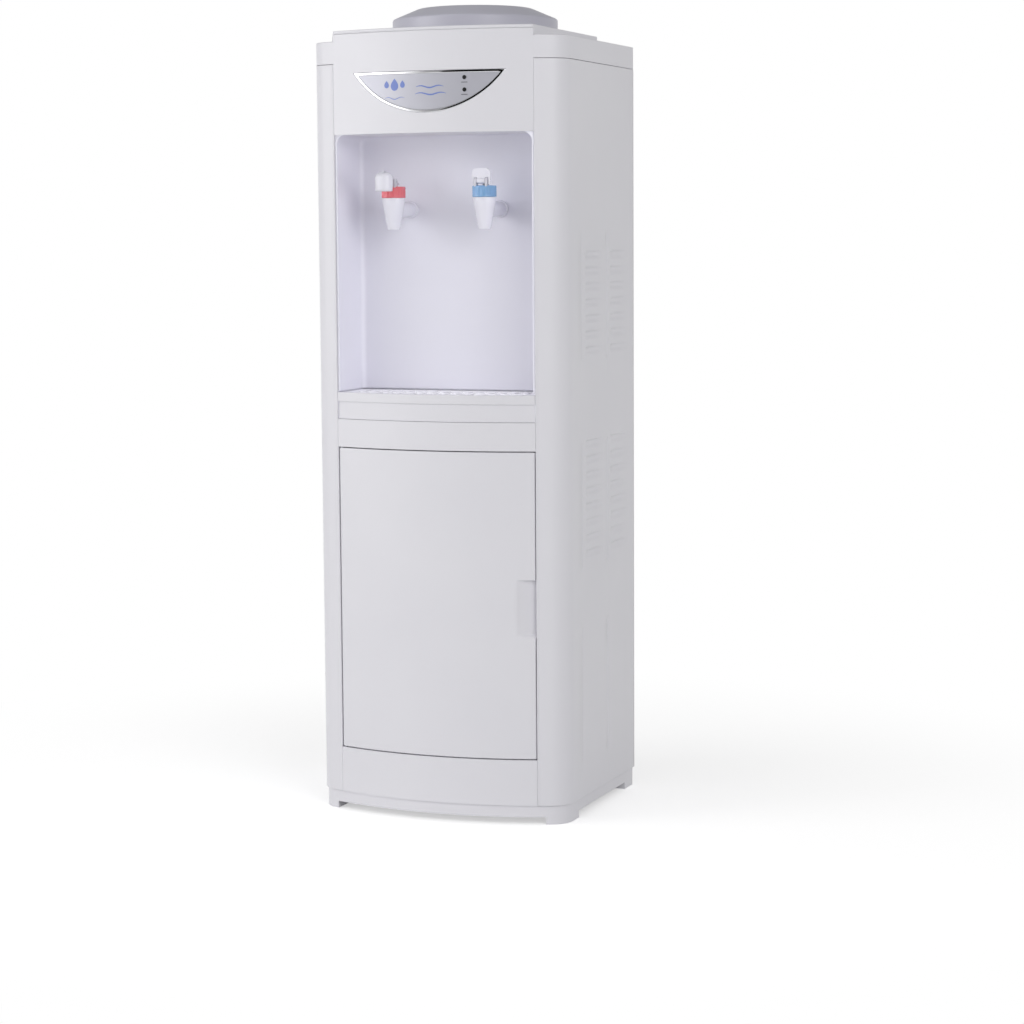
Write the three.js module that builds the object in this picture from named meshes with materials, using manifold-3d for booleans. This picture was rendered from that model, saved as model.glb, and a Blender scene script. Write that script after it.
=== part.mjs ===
// A floor-standing top-load water cooler with a tap niche, a drip tray and a storage cupboard.
// Millimetres, +Z up, front towards -Y, origin on the floor under the middle of the body.
import * as THREE from "three";
import { mergeVertices } from "three/addons/utils/BufferGeometryUtils.js";
import Module from "manifold-3d";

const wasm = await Module();
wasm.setup();

// Body in plan: a shallow front arc between two rounded corner columns
const bodyWidth = 300;
const bodyDepth = 260;
const frontRadius = 374;
const cornerRadius = 28;
const columnWidth = 32;

// Walls, clearances and the overrun that every cutter shares
const skin = 2.5;
const fitGap = 0.3;
const doorGap = 1.2;
const overrun = 2;
const weldDistance = 0.0005;

// Heights of the stack, from the floor up
const footHeight = 8;
const plinthHeight = 13;
const kickHeight = 51;
const doorHeight = 338;
const railHeight = 31;
const trayHeight = 29.5;
const nicheHeight = 283.5;
const headerHeight = 109;
const coverDrop = 7;
const skirtHeight = 24.7;
const roofGap = 1.5;
const capHeight = 30;

const halfWidth = bodyWidth / 2;
const frontY = -bodyDepth / 2;
const backY = bodyDepth / 2;
const centreHalf = halfWidth - columnWidth;
const panelHalf = centreHalf - fitGap;
const doorHalf = centreHalf - doorGap;
const plinthTop = footHeight + plinthHeight;
const frameBottom = plinthTop + fitGap;
const kickTop = frameBottom + kickHeight;
const doorBottom = kickTop + doorGap;
const doorTop = doorBottom + doorHeight;
const railBottom = doorTop + doorGap;
const railTop = railBottom + railHeight;
const trayBottom = railTop + fitGap;
const trayTop = trayBottom + trayHeight;
const nicheTop = trayTop + nicheHeight;
const headerTop = nicheTop + headerHeight;
const coverTop = headerTop - coverDrop;
const skirtBottom = coverTop - skirtHeight;
const bandTop = headerTop + roofGap + skin;
const capTop = bandTop + capHeight;

// How finely round shapes are faceted
const arcSteps = 16;
const filletSteps = 6;
const largeSides = 40;
const mediumSides = 24;
const smallSides = 12;

// Turns a closed three.js geometry into a manifold solid.
function solid(geometry) {
  const bare = geometry.clone();
  bare.deleteAttribute("normal");
  bare.deleteAttribute("uv");
  const merged = mergeVertices(bare, weldDistance);
  const source = merged.index.array;
  const kept = [];
  for (let i = 0; i < source.length; i += 3) {
    const [a, b, c] = [source[i], source[i + 1], source[i + 2]];
    if (a !== b && b !== c && c !== a) kept.push(a, b, c);
  }
  const vertProperties = merged.attributes.position.array;
  return new wasm.Manifold(new wasm.Mesh({ numProp: 3, vertProperties, triVerts: new Uint32Array(kept) }));
}

// The mirror image of a solid across the middle plane.
function mirrored(made) {
  const mesh = made.getMesh();
  const vertProperties = mesh.vertProperties.map((value, i) => (i % mesh.numProp === 0 ? -value : value));
  const triVerts = new Uint32Array(mesh.triVerts.length);
  for (let i = 0; i < triVerts.length; i += 3) {
    const [a, b, c] = mesh.triVerts.subarray(i, i + 3);
    triVerts.set([a, c, b], i);
  }
  return new wasm.Manifold(new wasm.Mesh({ numProp: mesh.numProp, vertProperties, triVerts }));
}

const join = (first, ...rest) => rest.reduce((all, next) => all.add(next), first);
const cut = (first, ...rest) => rest.reduce((all, next) => all.subtract(next), first);

// A box between two corners.
function box(x0, x1, y0, y1, z0, z1) {
  const geometry = new THREE.BoxGeometry(x1 - x0, y1 - y0, z1 - z0);
  geometry.translate((x0 + x1) / 2, (y0 + y1) / 2, (z0 + z1) / 2);
  return solid(geometry);
}

// The same box on both sides of the middle plane.
const boxPair = (x0, x1, ...rest) => [box(x0, x1, ...rest), box(-x1, -x0, ...rest)];

const flat = (points) => new THREE.Shape(points.map(([a, b]) => new THREE.Vector2(a, b)));

function extruded(points, depth) {
  return new THREE.ExtrudeGeometry(flat(points), { depth, bevelEnabled: false });
}

// A plan outline (x, y) raised from z0 to z1.
function prism(points, z0, z1) {
  const geometry = extruded(points, z1 - z0);
  geometry.translate(0, 0, z0);
  return solid(geometry);
}

// A front outline (x, z) carried from y0 to y1.
function prismY(points, y0, y1) {
  const geometry = extruded(points, y1 - y0);
  geometry.rotateX(Math.PI / 2);
  geometry.translate(0, y1, 0);
  return solid(geometry);
}

// A side outline (y, z) carried from x0 to x1.
function prismX(points, x0, x1) {
  const geometry = extruded(points, x1 - x0);
  const turn = new THREE.Matrix4();
  turn.makeBasis(new THREE.Vector3(0, 1, 0), new THREE.Vector3(0, 0, 1), new THREE.Vector3(1, 0, 0));
  geometry.applyMatrix4(turn);
  geometry.translate(x0, 0, 0);
  return solid(geometry);
}

// A round bar between two points.
function rod(radius, from, to, sides = smallSides) {
  const a = new THREE.Vector3(...from);
  const b = new THREE.Vector3(...to);
  const geometry = new THREE.CylinderGeometry(radius, radius, a.distanceTo(b), sides);
  const along = b.clone().sub(a).normalize();
  const turn = new THREE.Quaternion().setFromUnitVectors(new THREE.Vector3(0, 1, 0), along);
  geometry.applyQuaternion(turn);
  geometry.translate((a.x + b.x) / 2, (a.y + b.y) / 2, (a.z + b.z) / 2);
  return solid(geometry);
}

// A turned piece: (radius, height) points from low to high on the outside, round an upright axis.
function turned(profile, x, y, sides = mediumSides) {
  const onAxis = profile[0][0] === 0;
  const closed = onAxis ? profile : [...profile, profile[0]];
  const points = closed.map(([r, z]) => new THREE.Vector2(r, z));
  const geometry = new THREE.LatheGeometry(points, sides);
  geometry.rotateX(Math.PI / 2);
  geometry.translate(x, y, 0);
  return solid(geometry);
}

// The same, round a front-to-back axis: (radius, y) points.
function turnedY(profile, x, z, sides = mediumSides) {
  const onAxis = profile[0][0] === 0;
  const closed = onAxis ? profile : [...profile, profile[0]];
  const geometry = new THREE.LatheGeometry(closed.map(([r, y]) => new THREE.Vector2(r, y)), sides);
  geometry.translate(x, 0, z);
  return solid(geometry);
}

// A ring of rectangular section for turned and turnedY.
const sleeve = (inner, outer, low, high) => [
  [inner, low],
  [outer, low],
  [outer, high],
  [inner, high],
];

// A full disc for turned and turnedY.
const disc = (radius, low, high) => [
  [0, low],
  [radius, low],
  [radius, high],
  [0, high],
];

// A round hose or pipe along a smooth line through the points.
const hoseSides = 4;

function hose(points, radius, steps) {
  const line = new THREE.CatmullRomCurve3(points.map((p) => new THREE.Vector3(...p)));
  const ring = new THREE.Shape().absarc(0, 0, radius, 0, 2 * Math.PI);
  const options = { steps, curveSegments: hoseSides, extrudePath: line, bevelEnabled: false };
  return solid(new THREE.ExtrudeGeometry(ring, options));
}

// Points of a circle's arc between two angles.
function arcPoints(x, y, radius, from, to, steps) {
  const points = [];
  for (let i = 0; i <= steps; i += 1) {
    const angle = from + ((to - from) * i) / steps;
    points.push([x + radius * Math.cos(angle), y + radius * Math.sin(angle)]);
  }
  return points;
}

const arcCentreY = frontY + frontRadius;

// The y of the bowed front, at a depth under its surface.
const bowY = (x, depth = 0) => arcCentreY - Math.sqrt((frontRadius - depth) ** 2 - x * x);

// Points along the bowed front from x0 to x1.
function bow(x0, x1, depth = 0, steps = arcSteps) {
  const points = [];
  for (let i = 0; i <= steps; i += 1) {
    const x = x0 + ((x1 - x0) * i) / steps;
    points.push([x, bowY(x, depth)]);
  }
  return points;
}

// A plan outline bowed in front and straight behind.
const bowed = (half, depth, rearY) => [...bow(-half, half, depth), [half, rearY], [-half, rearY]];

// A plan strip that follows the bow between two depths.
const bowStrip = (x0, x1, depth0, depth1) => [...bow(x0, x1, depth0), ...bow(x1, x0, depth1)];

// Where the corner fillet of a column touches the bow, for a wall at a depth inside the skin.
function cornerOf(depth) {
  const radius = cornerRadius - depth;
  const x = halfWidth - cornerRadius;
  const reach = frontRadius - cornerRadius;
  const y = arcCentreY - Math.sqrt(reach ** 2 - x * x);
  const angle = Math.atan2(y - arcCentreY, x);
  const touchX = (frontRadius - depth) * Math.cos(angle);
  return { x, y, radius, angle, touchX };
}

const columnSteps = 2;

// The right column from an inner x round the corner to the side, at a depth inside the skin.
function columnPath(innerX, depth) {
  const corner = cornerOf(depth);
  const front = bow(innerX, corner.touchX, depth, columnSteps);
  const round = arcPoints(corner.x, corner.y, corner.radius, corner.angle, 0, filletSteps);
  return [...front, ...round.slice(1)];
}

// The whole body's outline in plan, at a depth inside the skin.
function bodyOutline(depth, rearY) {
  const corner = cornerOf(depth);
  const round = arcPoints(corner.x, corner.y, corner.radius, corner.angle, 0, filletSteps);
  const mirrored = round.map(([x, y]) => [-x, y]).reverse();
  const front = bow(-corner.touchX, corner.touchX, depth).slice(1, -1);
  return [...mirrored, ...front, ...round, [halfWidth - depth, rearY], [-(halfWidth - depth), rearY]];
}

const unit = new THREE.Group();

// The finishes, as they look on the object
const finish = (color, roughness, metalness = 0) =>
  new THREE.MeshStandardMaterial({ color, roughness, metalness });
const whiteAbs = finish(0xe6e5ea, 0.35);
const liningAbs = finish(0xdcdbe6, 0.4);
const capPlastic = finish(0xd3d2de, 0.3);
const chrome = finish(0xd8d8dc, 0.08, 1);
const silverFoil = finish(0xbdbdc6, 0.35, 0.6);
const tapWhite = finish(0xf0f0f4, 0.3);
const hotRed = finish(0xd9283c, 0.3);
const coldBlue = finish(0x3c86cf, 0.3);
const darkLens = finish(0x16161a, 0.2);
const steel = finish(0xb8babd, 0.3, 1);
const zincSheet = finish(0x9fa3a6, 0.45, 1);
const aluminium = finish(0xc4c6c8, 0.4, 1);
const rubber = finish(0x2b2b2d, 0.8);
const silicone = finish(0xe8e6df, 0.5);
const foam = finish(0xe9e4d2, 0.9);
const blackPlastic = finish(0x222225, 0.5);
const circuitGreen = finish(0x2f6b3c, 0.6);

// Adds one named piece to the unit.
function piece(name, made, material) {
  const mesh = made.getMesh();
  const count = mesh.numProp;
  const places = new Float32Array(mesh.numVert * 3);
  for (let i = 0; i < mesh.numVert; i += 1) {
    places.set(mesh.vertProperties.subarray(i * count, i * count + 3), i * 3);
  }
  const geometry = new THREE.BufferGeometry();
  geometry.setAttribute("position", new THREE.BufferAttribute(places, 3));
  geometry.setIndex(new THREE.BufferAttribute(mesh.triVerts, 1));
  const shaded = geometry.toNonIndexed();
  shaded.computeVertexNormals();
  const object = new THREE.Mesh(shaded, material);
  object.name = name;
  unit.add(object);
}

// Plinth: a moulded base, open underneath, with a foot block at each corner
const plinthInset = 2;
const plinthWall = 3;
const footWidth = 22;
const frontFootLength = 46;
const rearFootLength = 28;
const panelBackInset = 3;
const panelBackY = backY - panelBackInset;

function plinth() {
  const rearY = panelBackY - plinthInset;
  const outline = bodyOutline(plinthInset, rearY);
  const inside = bodyOutline(plinthInset + plinthWall, rearY - plinthWall);
  const tray = cut(
    prism(outline, footHeight, plinthTop),
    prism(inside, footHeight - overrun, plinthTop - plinthWall),
  );
  const full = prism(outline, 0, plinthTop - plinthWall / 2);
  const footX = halfWidth - plinthInset - footWidth;
  const frontEnd = bowY(footX, plinthInset) + frontFootLength;
  const corners = join(
    ...boxPair(footX, halfWidth, frontY, frontEnd, 0, plinthTop),
    ...boxPair(footX, halfWidth, rearY - rearFootLength, backY, 0, plinthTop),
  );
  return join(tray, full.intersect(corners));
}
piece("base_plinth", plinth(), whiteAbs);

// Side panels: a corner column, a flat side with louvres and grooves, and a rib for the rear panel
const sideTop = skirtBottom - fitGap;
const panelHeight = sideTop - frameBottom;
const returnDepth = 13;
const rearRibInset = 9.5;
const rearRibWidth = 14;
const ribBackY = panelBackY - rearRibInset;
const ribFrontY = ribBackY - skin;
const grooveWidth = 4;
const grooveDepth = 0.9;
const louvreLength = 60;
const louvreHeight = 4.2;
const louvreRise = 4;
const louvrePitch = 17.5;

// Shares of the flat side's depth and of the panel's height
const grooveColumns = [0.139, 0.545];
const grooveRows = [
  [0.047, 0.239],
  [0.314, 0.491],
  [0.597, 0.773],
];
const louvreColumns = [0.342, 0.742];
const louvreGroups = [
  { low: 0.328, count: 8 },
  { low: 0.606, count: 7 },
];

function sideOutline() {
  const innerX = centreHalf + skin;
  const returnY = bowY(centreHalf) + returnDepth;
  return [
    [centreHalf, returnY],
    ...columnPath(centreHalf, 0),
    [halfWidth, panelBackY],
    [halfWidth - skin, panelBackY],
    [halfWidth - skin, ribBackY],
    [halfWidth - rearRibWidth, ribBackY],
    [halfWidth - rearRibWidth, ribFrontY],
    [halfWidth - skin, ribFrontY],
    ...columnPath(innerX, skin).reverse(),
    [innerX, returnY],
  ];
}

// One slanted slot through the side, higher inside than outside.
function louvre(y, z) {
  const inner = halfWidth - skin - overrun;
  const outer = halfWidth + overrun;
  const outline = [
    [inner, z + louvreRise],
    [outer, z],
    [outer, z + louvreHeight],
    [inner, z + louvreRise + louvreHeight],
  ];
  return prismY(outline, y - louvreLength / 2, y + louvreLength / 2);
}

function sidePanel() {
  const startY = cornerOf(0).y;
  const sideY = (share) => startY + share * (panelBackY - startY);
  const sideZ = (share) => frameBottom + share * panelHeight;
  const louvres = [];
  louvreColumns.forEach((column) => {
    louvreGroups.forEach(({ low, count }) => {
      for (let i = 0; i < count; i += 1) {
        louvres.push(louvre(sideY(column), sideZ(low) + i * louvrePitch));
      }
    });
  });
  const grooves = grooveColumns.flatMap((column) =>
    grooveRows.map(([low, high]) => {
      const y = sideY(column);
      const outline = [
        [halfWidth + overrun, y - grooveWidth / 2],
        [halfWidth + overrun, y + grooveWidth / 2],
        [halfWidth - grooveDepth, y],
      ];
      return prism(outline, sideZ(low), sideZ(high));
    }),
  );
  return cut(prism(sideOutline(), frameBottom, sideTop), ...louvres, ...grooves);
}
const rightPanel = sidePanel();
piece("right_side_panel", rightPanel, whiteAbs);
piece("left_side_panel", mirrored(rightPanel), whiteAbs);

// Top cover: a skirt round the body and a raised band the dust cap stands on
const bandInset = 34;
const seatInset = 81;
const bandBackY = backY - bandInset;
const seatY = bandBackY - seatInset;
const seatHole = 77.5;
const coverNotchBack = 22;

function topCover() {
  const roofInside = bandTop - skin;
  const outside = join(
    prism(bodyOutline(0, backY), skirtBottom, coverTop),
    prism(bowed(panelHalf, 0, bandBackY), coverTop - skin, bandTop),
  );
  const notch = prism(bow(-centreHalf, centreHalf, -overrun).concat([
    [centreHalf, bowY(centreHalf) + coverNotchBack],
    [-centreHalf, bowY(centreHalf) + coverNotchBack],
  ]), skirtBottom - overrun, roofInside);
  return cut(
    outside,
    prism(bodyOutline(skin, backY - skin), skirtBottom - overrun, coverTop - skin),
    prism(bowed(panelHalf - skin, skin, bandBackY - skin), coverTop - 2 * skin, roofInside),
    notch,
    turned(disc(seatHole, roofInside - overrun, bandTop + overrun), 0, seatY, largeSides),
  );
}
piece("top_cover", topCover(), whiteAbs);

// Bottle seat: a flanged well with a funnel floor, an outlet pipe and a hollow spike for the bottle
const seatFlange = 88;
const seatWell = 76;
const seatDepth = 54;
const funnelDrop = 6;
const outletRadius = 9;
const outletBore = 6.5;
const outletLength = 26;
const seatBase = bandTop + fitGap;
const seatTop = seatBase + skin;
const wellFloor = seatTop - seatDepth;
const outletTop = wellFloor - funnelDrop;
const outletEnd = outletTop - outletLength;

function bottleSeat() {
  return turned([
    [outletBore, outletEnd],
    [outletRadius, outletEnd],
    [outletRadius, outletTop - skin],
    [seatWell, wellFloor - skin],
    [seatWell, seatBase],
    [seatFlange, seatBase],
    [seatFlange, seatTop],
    [seatWell - skin, seatTop],
    [seatWell - skin, wellFloor],
    [outletBore, outletTop],
  ], 0, seatY, largeSides);
}
piece("bottle_seat", bottleSeat(), whiteAbs);

const spikeBase = 20;
const spikeRadius = 8.5;
const spikeTip = 3;
const spikeBore = 5;
const spikeHeight = 38;
const spikePort = 3;
const spikeShoulderShare = 0.7;
const spikePortShare = 0.45;

function spike() {
  const slope = funnelDrop / (seatWell - skin - outletBore);
  const low = outletTop + slope * (spikeBase - outletBore) + fitGap;
  const shoulder = low + spikeHeight * spikeShoulderShare;
  const top = low + spikeHeight;
  const portZ = low + spikeHeight * spikePortShare;
  const body = turned([
    [0, shoulder - skin],
    [spikeBore, shoulder - skin],
    [spikeBore, low],
    [spikeBase, low],
    [spikeBase, low + skin],
    [spikeRadius, low + skin],
    [spikeRadius, shoulder],
    [spikeTip, top],
    [0, top],
  ], 0, seatY);
  return cut(body, rod(spikePort, [-spikeBase, seatY, portZ], [spikeBase, seatY, portZ]));
}
piece("bottle_probe", spike(), coldBlue);

// Dust cap: a shallow lid with a wide bevel, lifted off for the bottle
const capRadius = 93;
const capTopRadius = 64;
const capWall = 16.8;

function dustCap() {
  const low = bandTop + fitGap;
  const shoulder = bandTop + capWall;
  return turned([
    [0, capTop - skin],
    [capTopRadius, capTop - skin],
    [capRadius - skin, shoulder - skin / 2],
    [capRadius - skin, low],
    [capRadius, low],
    [capRadius, shoulder],
    [capTopRadius, capTop],
    [0, capTop],
  ], 0, seatY, largeSides);
}
piece("dust_cap", dustCap(), capPlastic);

// Front header: a bowed panel with the niche ceiling and a half-round display window
const nicheSetback = 63;
const nicheBackY = seatY - nicheSetback;
const headerFlange = 16;
const windowDrop = 42.6;
const windowHalf = 90;
const windowHeight = 45.2;
const windowSteps = 20;
const bezelWidth = 3.3;
const bezelSet = 0.1;
const windowPocket = 1.6;
const plateThickness = 1;
const ledX = 44.5;
const ledRadius = 2.3;
const heatingLedDrop = 8.4;
const coolingLedDrop = 21.5;
const boardHalf = 60;
const boardDrop = 39.4;
const boardHeight = 40;
const boardThickness = 1.6;
const boardGap = 12;
const postRadius = 3;
const postX = 52;
const windowTop = headerTop - windowDrop;
const boardLow = windowTop - boardDrop;
const leds = [
  ["heating", windowTop - heatingLedDrop],
  ["cooling", windowTop - coolingLedDrop],
];

// The half-round window outline, drawn in by a margin.
function windowOutline(margin) {
  const radius = (windowHalf ** 2 + windowHeight ** 2) / (2 * windowHeight);
  const centreZ = windowTop - windowHeight + radius;
  const inner = radius - margin;
  const top = windowTop - margin;
  const half = Math.acos((centreZ - top) / inner);
  return arcPoints(0, centreZ, inner, -Math.PI / 2 - half, -Math.PI / 2 + half, windowSteps);
}

// A bowed slab of the window's shape, between two depths.
function windowSlab(margin, depth0, depth1) {
  const slab = prism(bowStrip(-windowHalf, windowHalf, depth0, depth1), nicheTop, headerTop);
  return slab.intersect(prismY(windowOutline(margin), frontY - overrun, 0));
}

const boardY = bowY(boardHalf) + boardGap;
const boardFrontY = boardY - boardThickness;

const ledHoles = () => leds.map(([, z]) =>
  rod(ledRadius + fitGap, [ledX, frontY - overrun, z], [ledX, boardFrontY - fitGap, z]),
);

function header() {
  const shell = cut(
    prism(bowed(panelHalf, 0, bowY(panelHalf) + headerFlange), nicheTop, headerTop),
    prism(bowed(panelHalf - skin, skin, 0), nicheTop - overrun, headerTop + overrun),
  );
  const ceiling = prism(bowed(panelHalf, 0, nicheBackY), nicheTop, nicheTop + skin);
  const posts = [-postX, postX].map((x) => {
    const z = boardLow + boardHeight / 2;
    return rod(postRadius, [x, bowY(x, skin / 2), z], [x, boardFrontY - fitGap, z]);
  });
  return cut(join(shell, ceiling, ...posts), windowSlab(0, -overrun, windowPocket), ...ledHoles());
}
piece("front_header", header(), whiteAbs);

const bezel = cut(
  windowSlab(fitGap, bezelSet, windowPocket - fitGap / 2),
  windowSlab(bezelWidth, -bezelSet, windowPocket),
);
piece("display_bezel", bezel, chrome);

const plateBack = windowPocket - fitGap / 2;
const plate = cut(windowSlab(bezelWidth + fitGap, plateBack - plateThickness, plateBack), ...ledHoles());
piece("display_plate", plate, silverFoil);

for (const [name, z] of leds) {
  const led = rod(ledRadius, [ledX, bowY(ledX), z], [ledX, boardFrontY - fitGap, z]);
  piece(`led_${name}`, led, darkLens);
}

// Control board behind the display: a plate with its chip, relay and plug
const chipDepth = 3;
const relayDepth = 14;
const plugDepth = 9;

// Left edge, foot, width and height of each, as shares of the board
const chipShares = [0.25, 0.3, 0.15, 0.3];
const relayShares = [0.517, 0.25, 0.133, 0.5];
const plugShares = [0.067, 0.4, 0.083, 0.35];

function onBoard([left, foot, wide, high], depth) {
  const x = boardHalf * (2 * left - 1);
  const z = boardLow + boardHeight * foot;
  const y = boardY - boardThickness / 2;
  return box(x, x + 2 * boardHalf * wide, y, y + depth, z, z + boardHeight * high);
}
const boardParts = [
  onBoard(chipShares, chipDepth),
  onBoard(relayShares, relayDepth),
  onBoard(plugShares, plugDepth),
];
const boardTop = boardLow + boardHeight;
const boardPlate = box(-boardHalf, boardHalf, boardFrontY, boardY, boardLow, boardTop);
piece("control_board", join(boardPlate, ...boardParts), circuitGreen);

// Niche liner: the back and side walls of the cup space, with rounded upper corners
const tapX = 54;
const tapDrop = 82;
const tapZ = nicheTop - tapDrop;
const tapReach = 47;
const tailRadius = 7.5;
const nicheInset = 1;
const nicheFillet = 10;
const nicheLow = railTop + fitGap;

// A concave corner between a wall at x and a ceiling at z.
function cornerFillet(x, z, radius) {
  const curve = arcPoints(x - radius, z - radius, radius, 0, Math.PI / 2, filletSteps);
  return [[x + skin / 2, z - radius], ...curve, [x - radius, z + skin / 2], [x + skin / 2, z + skin / 2]];
}

function nicheLiner() {
  const top = nicheTop - fitGap;
  const inner = panelHalf - skin;
  const backWall = box(-panelHalf, panelHalf, nicheBackY, nicheBackY + skin, nicheLow, top);
  const sides = cut(
    prism(bowed(panelHalf, nicheInset, nicheBackY + skin), trayTop + fitGap, top),
    prism(bowed(inner, -overrun, nicheBackY), nicheLow, top + overrun),
  );
  const frontEdge = bowY(inner, nicheInset);
  const fillet = prismY(cornerFillet(inner, top - skin / 2, nicheFillet), frontEdge, nicheBackY + skin);
  const through = disc(tailRadius + fitGap, nicheBackY - overrun, nicheBackY + skin + overrun);
  const holes = [-tapX, tapX].map((x) => turnedY(through, x, tapZ));
  return cut(join(backWall, sides, fillet, mirrored(fillet)), ...holes);
}
piece("niche_liner", nicheLiner(), liningAbs);

// Lower front frame: kick panel, door jambs, rail and the shelf under the drip tray
const doorEdge = 11.3;
const jambSet = 2.5;
const doorBackY = bowY(doorHalf) + doorEdge;
const jambFrontY = doorBackY + jambSet;
const jambDepth = 38;
const jambWidth = 5;
const kickFlangeY = jambFrontY + jambDepth;
const hingeRound = 3;
const pinRadius = 1.5;
const pinLength = 12;
const pinFit = 0.05;
const hingeX = -(doorHalf - hingeRound);
const hingeY = arcCentreY - Math.sqrt((frontRadius - hingeRound) ** 2 - hingeX ** 2);
const pinReach = skin + doorGap + pinLength;

function hingePin(low, radius, gap = 0) {
  return rod(radius, [hingeX, hingeY, low + gap], [hingeX, hingeY, low + pinReach - gap]);
}
const lowerPinZ = kickTop - skin;
const upperPinZ = railBottom + skin - pinReach;

const pinHoles = () => [lowerPinZ, upperPinZ].map((low) => hingePin(low, pinRadius + pinFit));

function lowerFrame() {
  const jambX = panelHalf - jambWidth;
  const facing = (low, high) => prism(bowStrip(-panelHalf, panelHalf, 0, skin), low, high);
  const ledge = (rearY, low) => prism(bowed(panelHalf, 0, rearY), low, low + skin);
  const frame = join(
    facing(frameBottom, kickTop),
    ledge(kickFlangeY, kickTop - skin),
    facing(railBottom, railTop),
    ledge(kickFlangeY, railBottom),
    ledge(nicheBackY + skin, railTop - skin),
    box(-panelHalf, panelHalf, kickFlangeY - skin, kickFlangeY, railBottom, railTop),
    ...boxPair(jambX, panelHalf, jambFrontY, kickFlangeY, kickTop - skin, railBottom + skin),
    ...boxPair(jambX, panelHalf, jambFrontY, kickFlangeY, frameBottom, kickTop),
  );
  return cut(frame, ...pinHoles());
}
piece("lower_front_frame", lowerFrame(), whiteAbs);

// Door: a bowed shell with a rounded hinge edge, a finger recess and a flat inner panel
const doorMargin = 2.8;
const recessLeft = 97;
const recessLow = 209;
const recessHeight = 63;
const recessDepth = 7;
const recessEase = 9;
const hingeBlock = 7;

function doorOutline(depth, rearY) {
  const radius = hingeRound - depth;
  const angle = Math.atan2(hingeY - arcCentreY, hingeX) + 2 * Math.PI;
  const corner = arcPoints(hingeX, hingeY, radius, Math.PI, angle, filletSteps);
  const touchX = (frontRadius - depth) * Math.cos(angle);
  const half = doorHalf - depth;
  return [...corner, ...bow(touchX, half, depth).slice(1), [half, rearY], [-half, rearY]];
}

// The finger recess in plan: a scoop that deepens from the left and runs out at the door's edge.
function recessOutline() {
  const points = [];
  for (let i = 0; i <= filletSteps; i += 1) {
    const x = recessLeft + (recessEase * i) / filletSteps;
    points.push([x, bowY(x, recessDepth * Math.sin((Math.PI * i) / (2 * filletSteps)))]);
  }
  const floor = bow(recessLeft + recessEase, halfWidth, recessDepth, filletSteps).slice(1);
  return [...points, ...floor, [halfWidth, frontY - overrun], [recessLeft, frontY - overrun]];
}

function doorShell() {
  const full = prism(doorOutline(0, doorBackY), doorBottom, doorTop);
  const hollow = prism(doorOutline(skin, doorBackY + overrun), doorBottom + skin, doorTop - skin);
  const recessTop = recessLow + recessHeight;
  const panelFace = doorBackY - doorMargin;
  const blockRight = hingeX + hingeBlock;
  const blockHeight = pinLength + skin;
  const extras = join(
    box(recessLeft - skin, doorHalf, frontY, panelFace - fitGap, recessLow - skin, recessTop + skin),
    box(-halfWidth, blockRight, frontY, panelFace, doorBottom, doorBottom + blockHeight),
    box(-halfWidth, blockRight, frontY, panelFace, doorTop - blockHeight, doorTop),
  ).intersect(full);
  return cut(join(cut(full, hollow), extras), prism(recessOutline(), recessLow, recessTop), ...pinHoles());
}
piece("door", doorShell(), whiteAbs);

const doorPanelHalf = doorHalf - skin - fitGap;
const doorPanel = box(
  -doorPanelHalf, doorPanelHalf, doorBackY - doorMargin + fitGap, doorBackY - fitGap,
  doorBottom + skin + fitGap, doorTop - skin - fitGap,
);
piece("door_inner_panel", doorPanel, liningAbs);
piece("door_pin_lower", hingePin(lowerPinZ, pinRadius, pinFit), steel);
piece("door_pin_upper", hingePin(upperPinZ, pinRadius, pinFit), steel);

const catchHeight = 22;
const catchWidth = 9;
const catchDepth = 8;
const catchSet = 0.7;
const strikeThickness = 0.8;
const catchZ = recessLow + recessHeight / 2 - catchHeight / 2;
const catchRight = panelHalf - jambWidth - fitGap;
const catchLeft = catchRight - catchWidth;
const strikeY = doorBackY - fitGap + fitGap / 2;
const magnetY = strikeY + strikeThickness + catchSet;
const strike = box(catchLeft, catchRight, strikeY, strikeY + strikeThickness, catchZ, catchZ + catchHeight);
piece("door_strike", strike, steel);
const magnet = box(catchLeft, catchRight, magnetY, magnetY + catchDepth, catchZ, catchZ + catchHeight);
piece("door_magnet", magnet, blackPlastic);

// Cabinet liner: an open-fronted box for cups, standing on two skids
const linerSet = 12;
const linerRear = 70;
const linerHalf = panelHalf - jambWidth - fitGap - pinFit;
const linerFrontY = doorBackY + linerSet;
const linerBackY = backY - linerRear;
const linerWall = 2;
const linerLow = kickTop + doorGap;
const linerTop = doorTop - doorGap;
const skidInset = 30;
const skidWidth = 4;

function cabinetLiner() {
  const shell = cut(
    box(-linerHalf, linerHalf, linerFrontY, linerBackY, linerLow, linerTop),
    box(
      -linerHalf + linerWall, linerHalf - linerWall, linerFrontY - overrun, linerBackY - linerWall,
      linerLow + linerWall, linerTop - linerWall,
    ),
  );
  const skidX = linerHalf - skidInset;
  const skids = boxPair(skidX, skidX + skidWidth, 0, linerBackY, frameBottom, linerLow + linerWall);
  const magnetSlot = box(
    catchLeft - fitGap, linerHalf + overrun, linerFrontY - overrun, magnetY + catchDepth + fitGap,
    catchZ - fitGap, catchZ + catchHeight + fitGap,
  );
  return cut(join(shell, ...skids), magnetSlot);
}
piece("cabinet_liner", cabinetLiner(), liningAbs);

// Drip tray: a bowed basin with a proud lip, and a slotted grille that lifts out
const trayHalf = panelHalf - fitGap;
const trayLipDrop = 10;
const trayLipProud = 1.6;
const trayWall = 3.5;
const trayFrontWall = 6;
const grilleThickness = 2.4;
const grilleLedge = 3;
const grilleSlotWidth = 6;
const grillePitch = 14;
const grilleSlots = 7;
const grilleRim = 9;
const grilleBar = 6;
const trayBackY = nicheBackY - fitGap;

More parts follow.
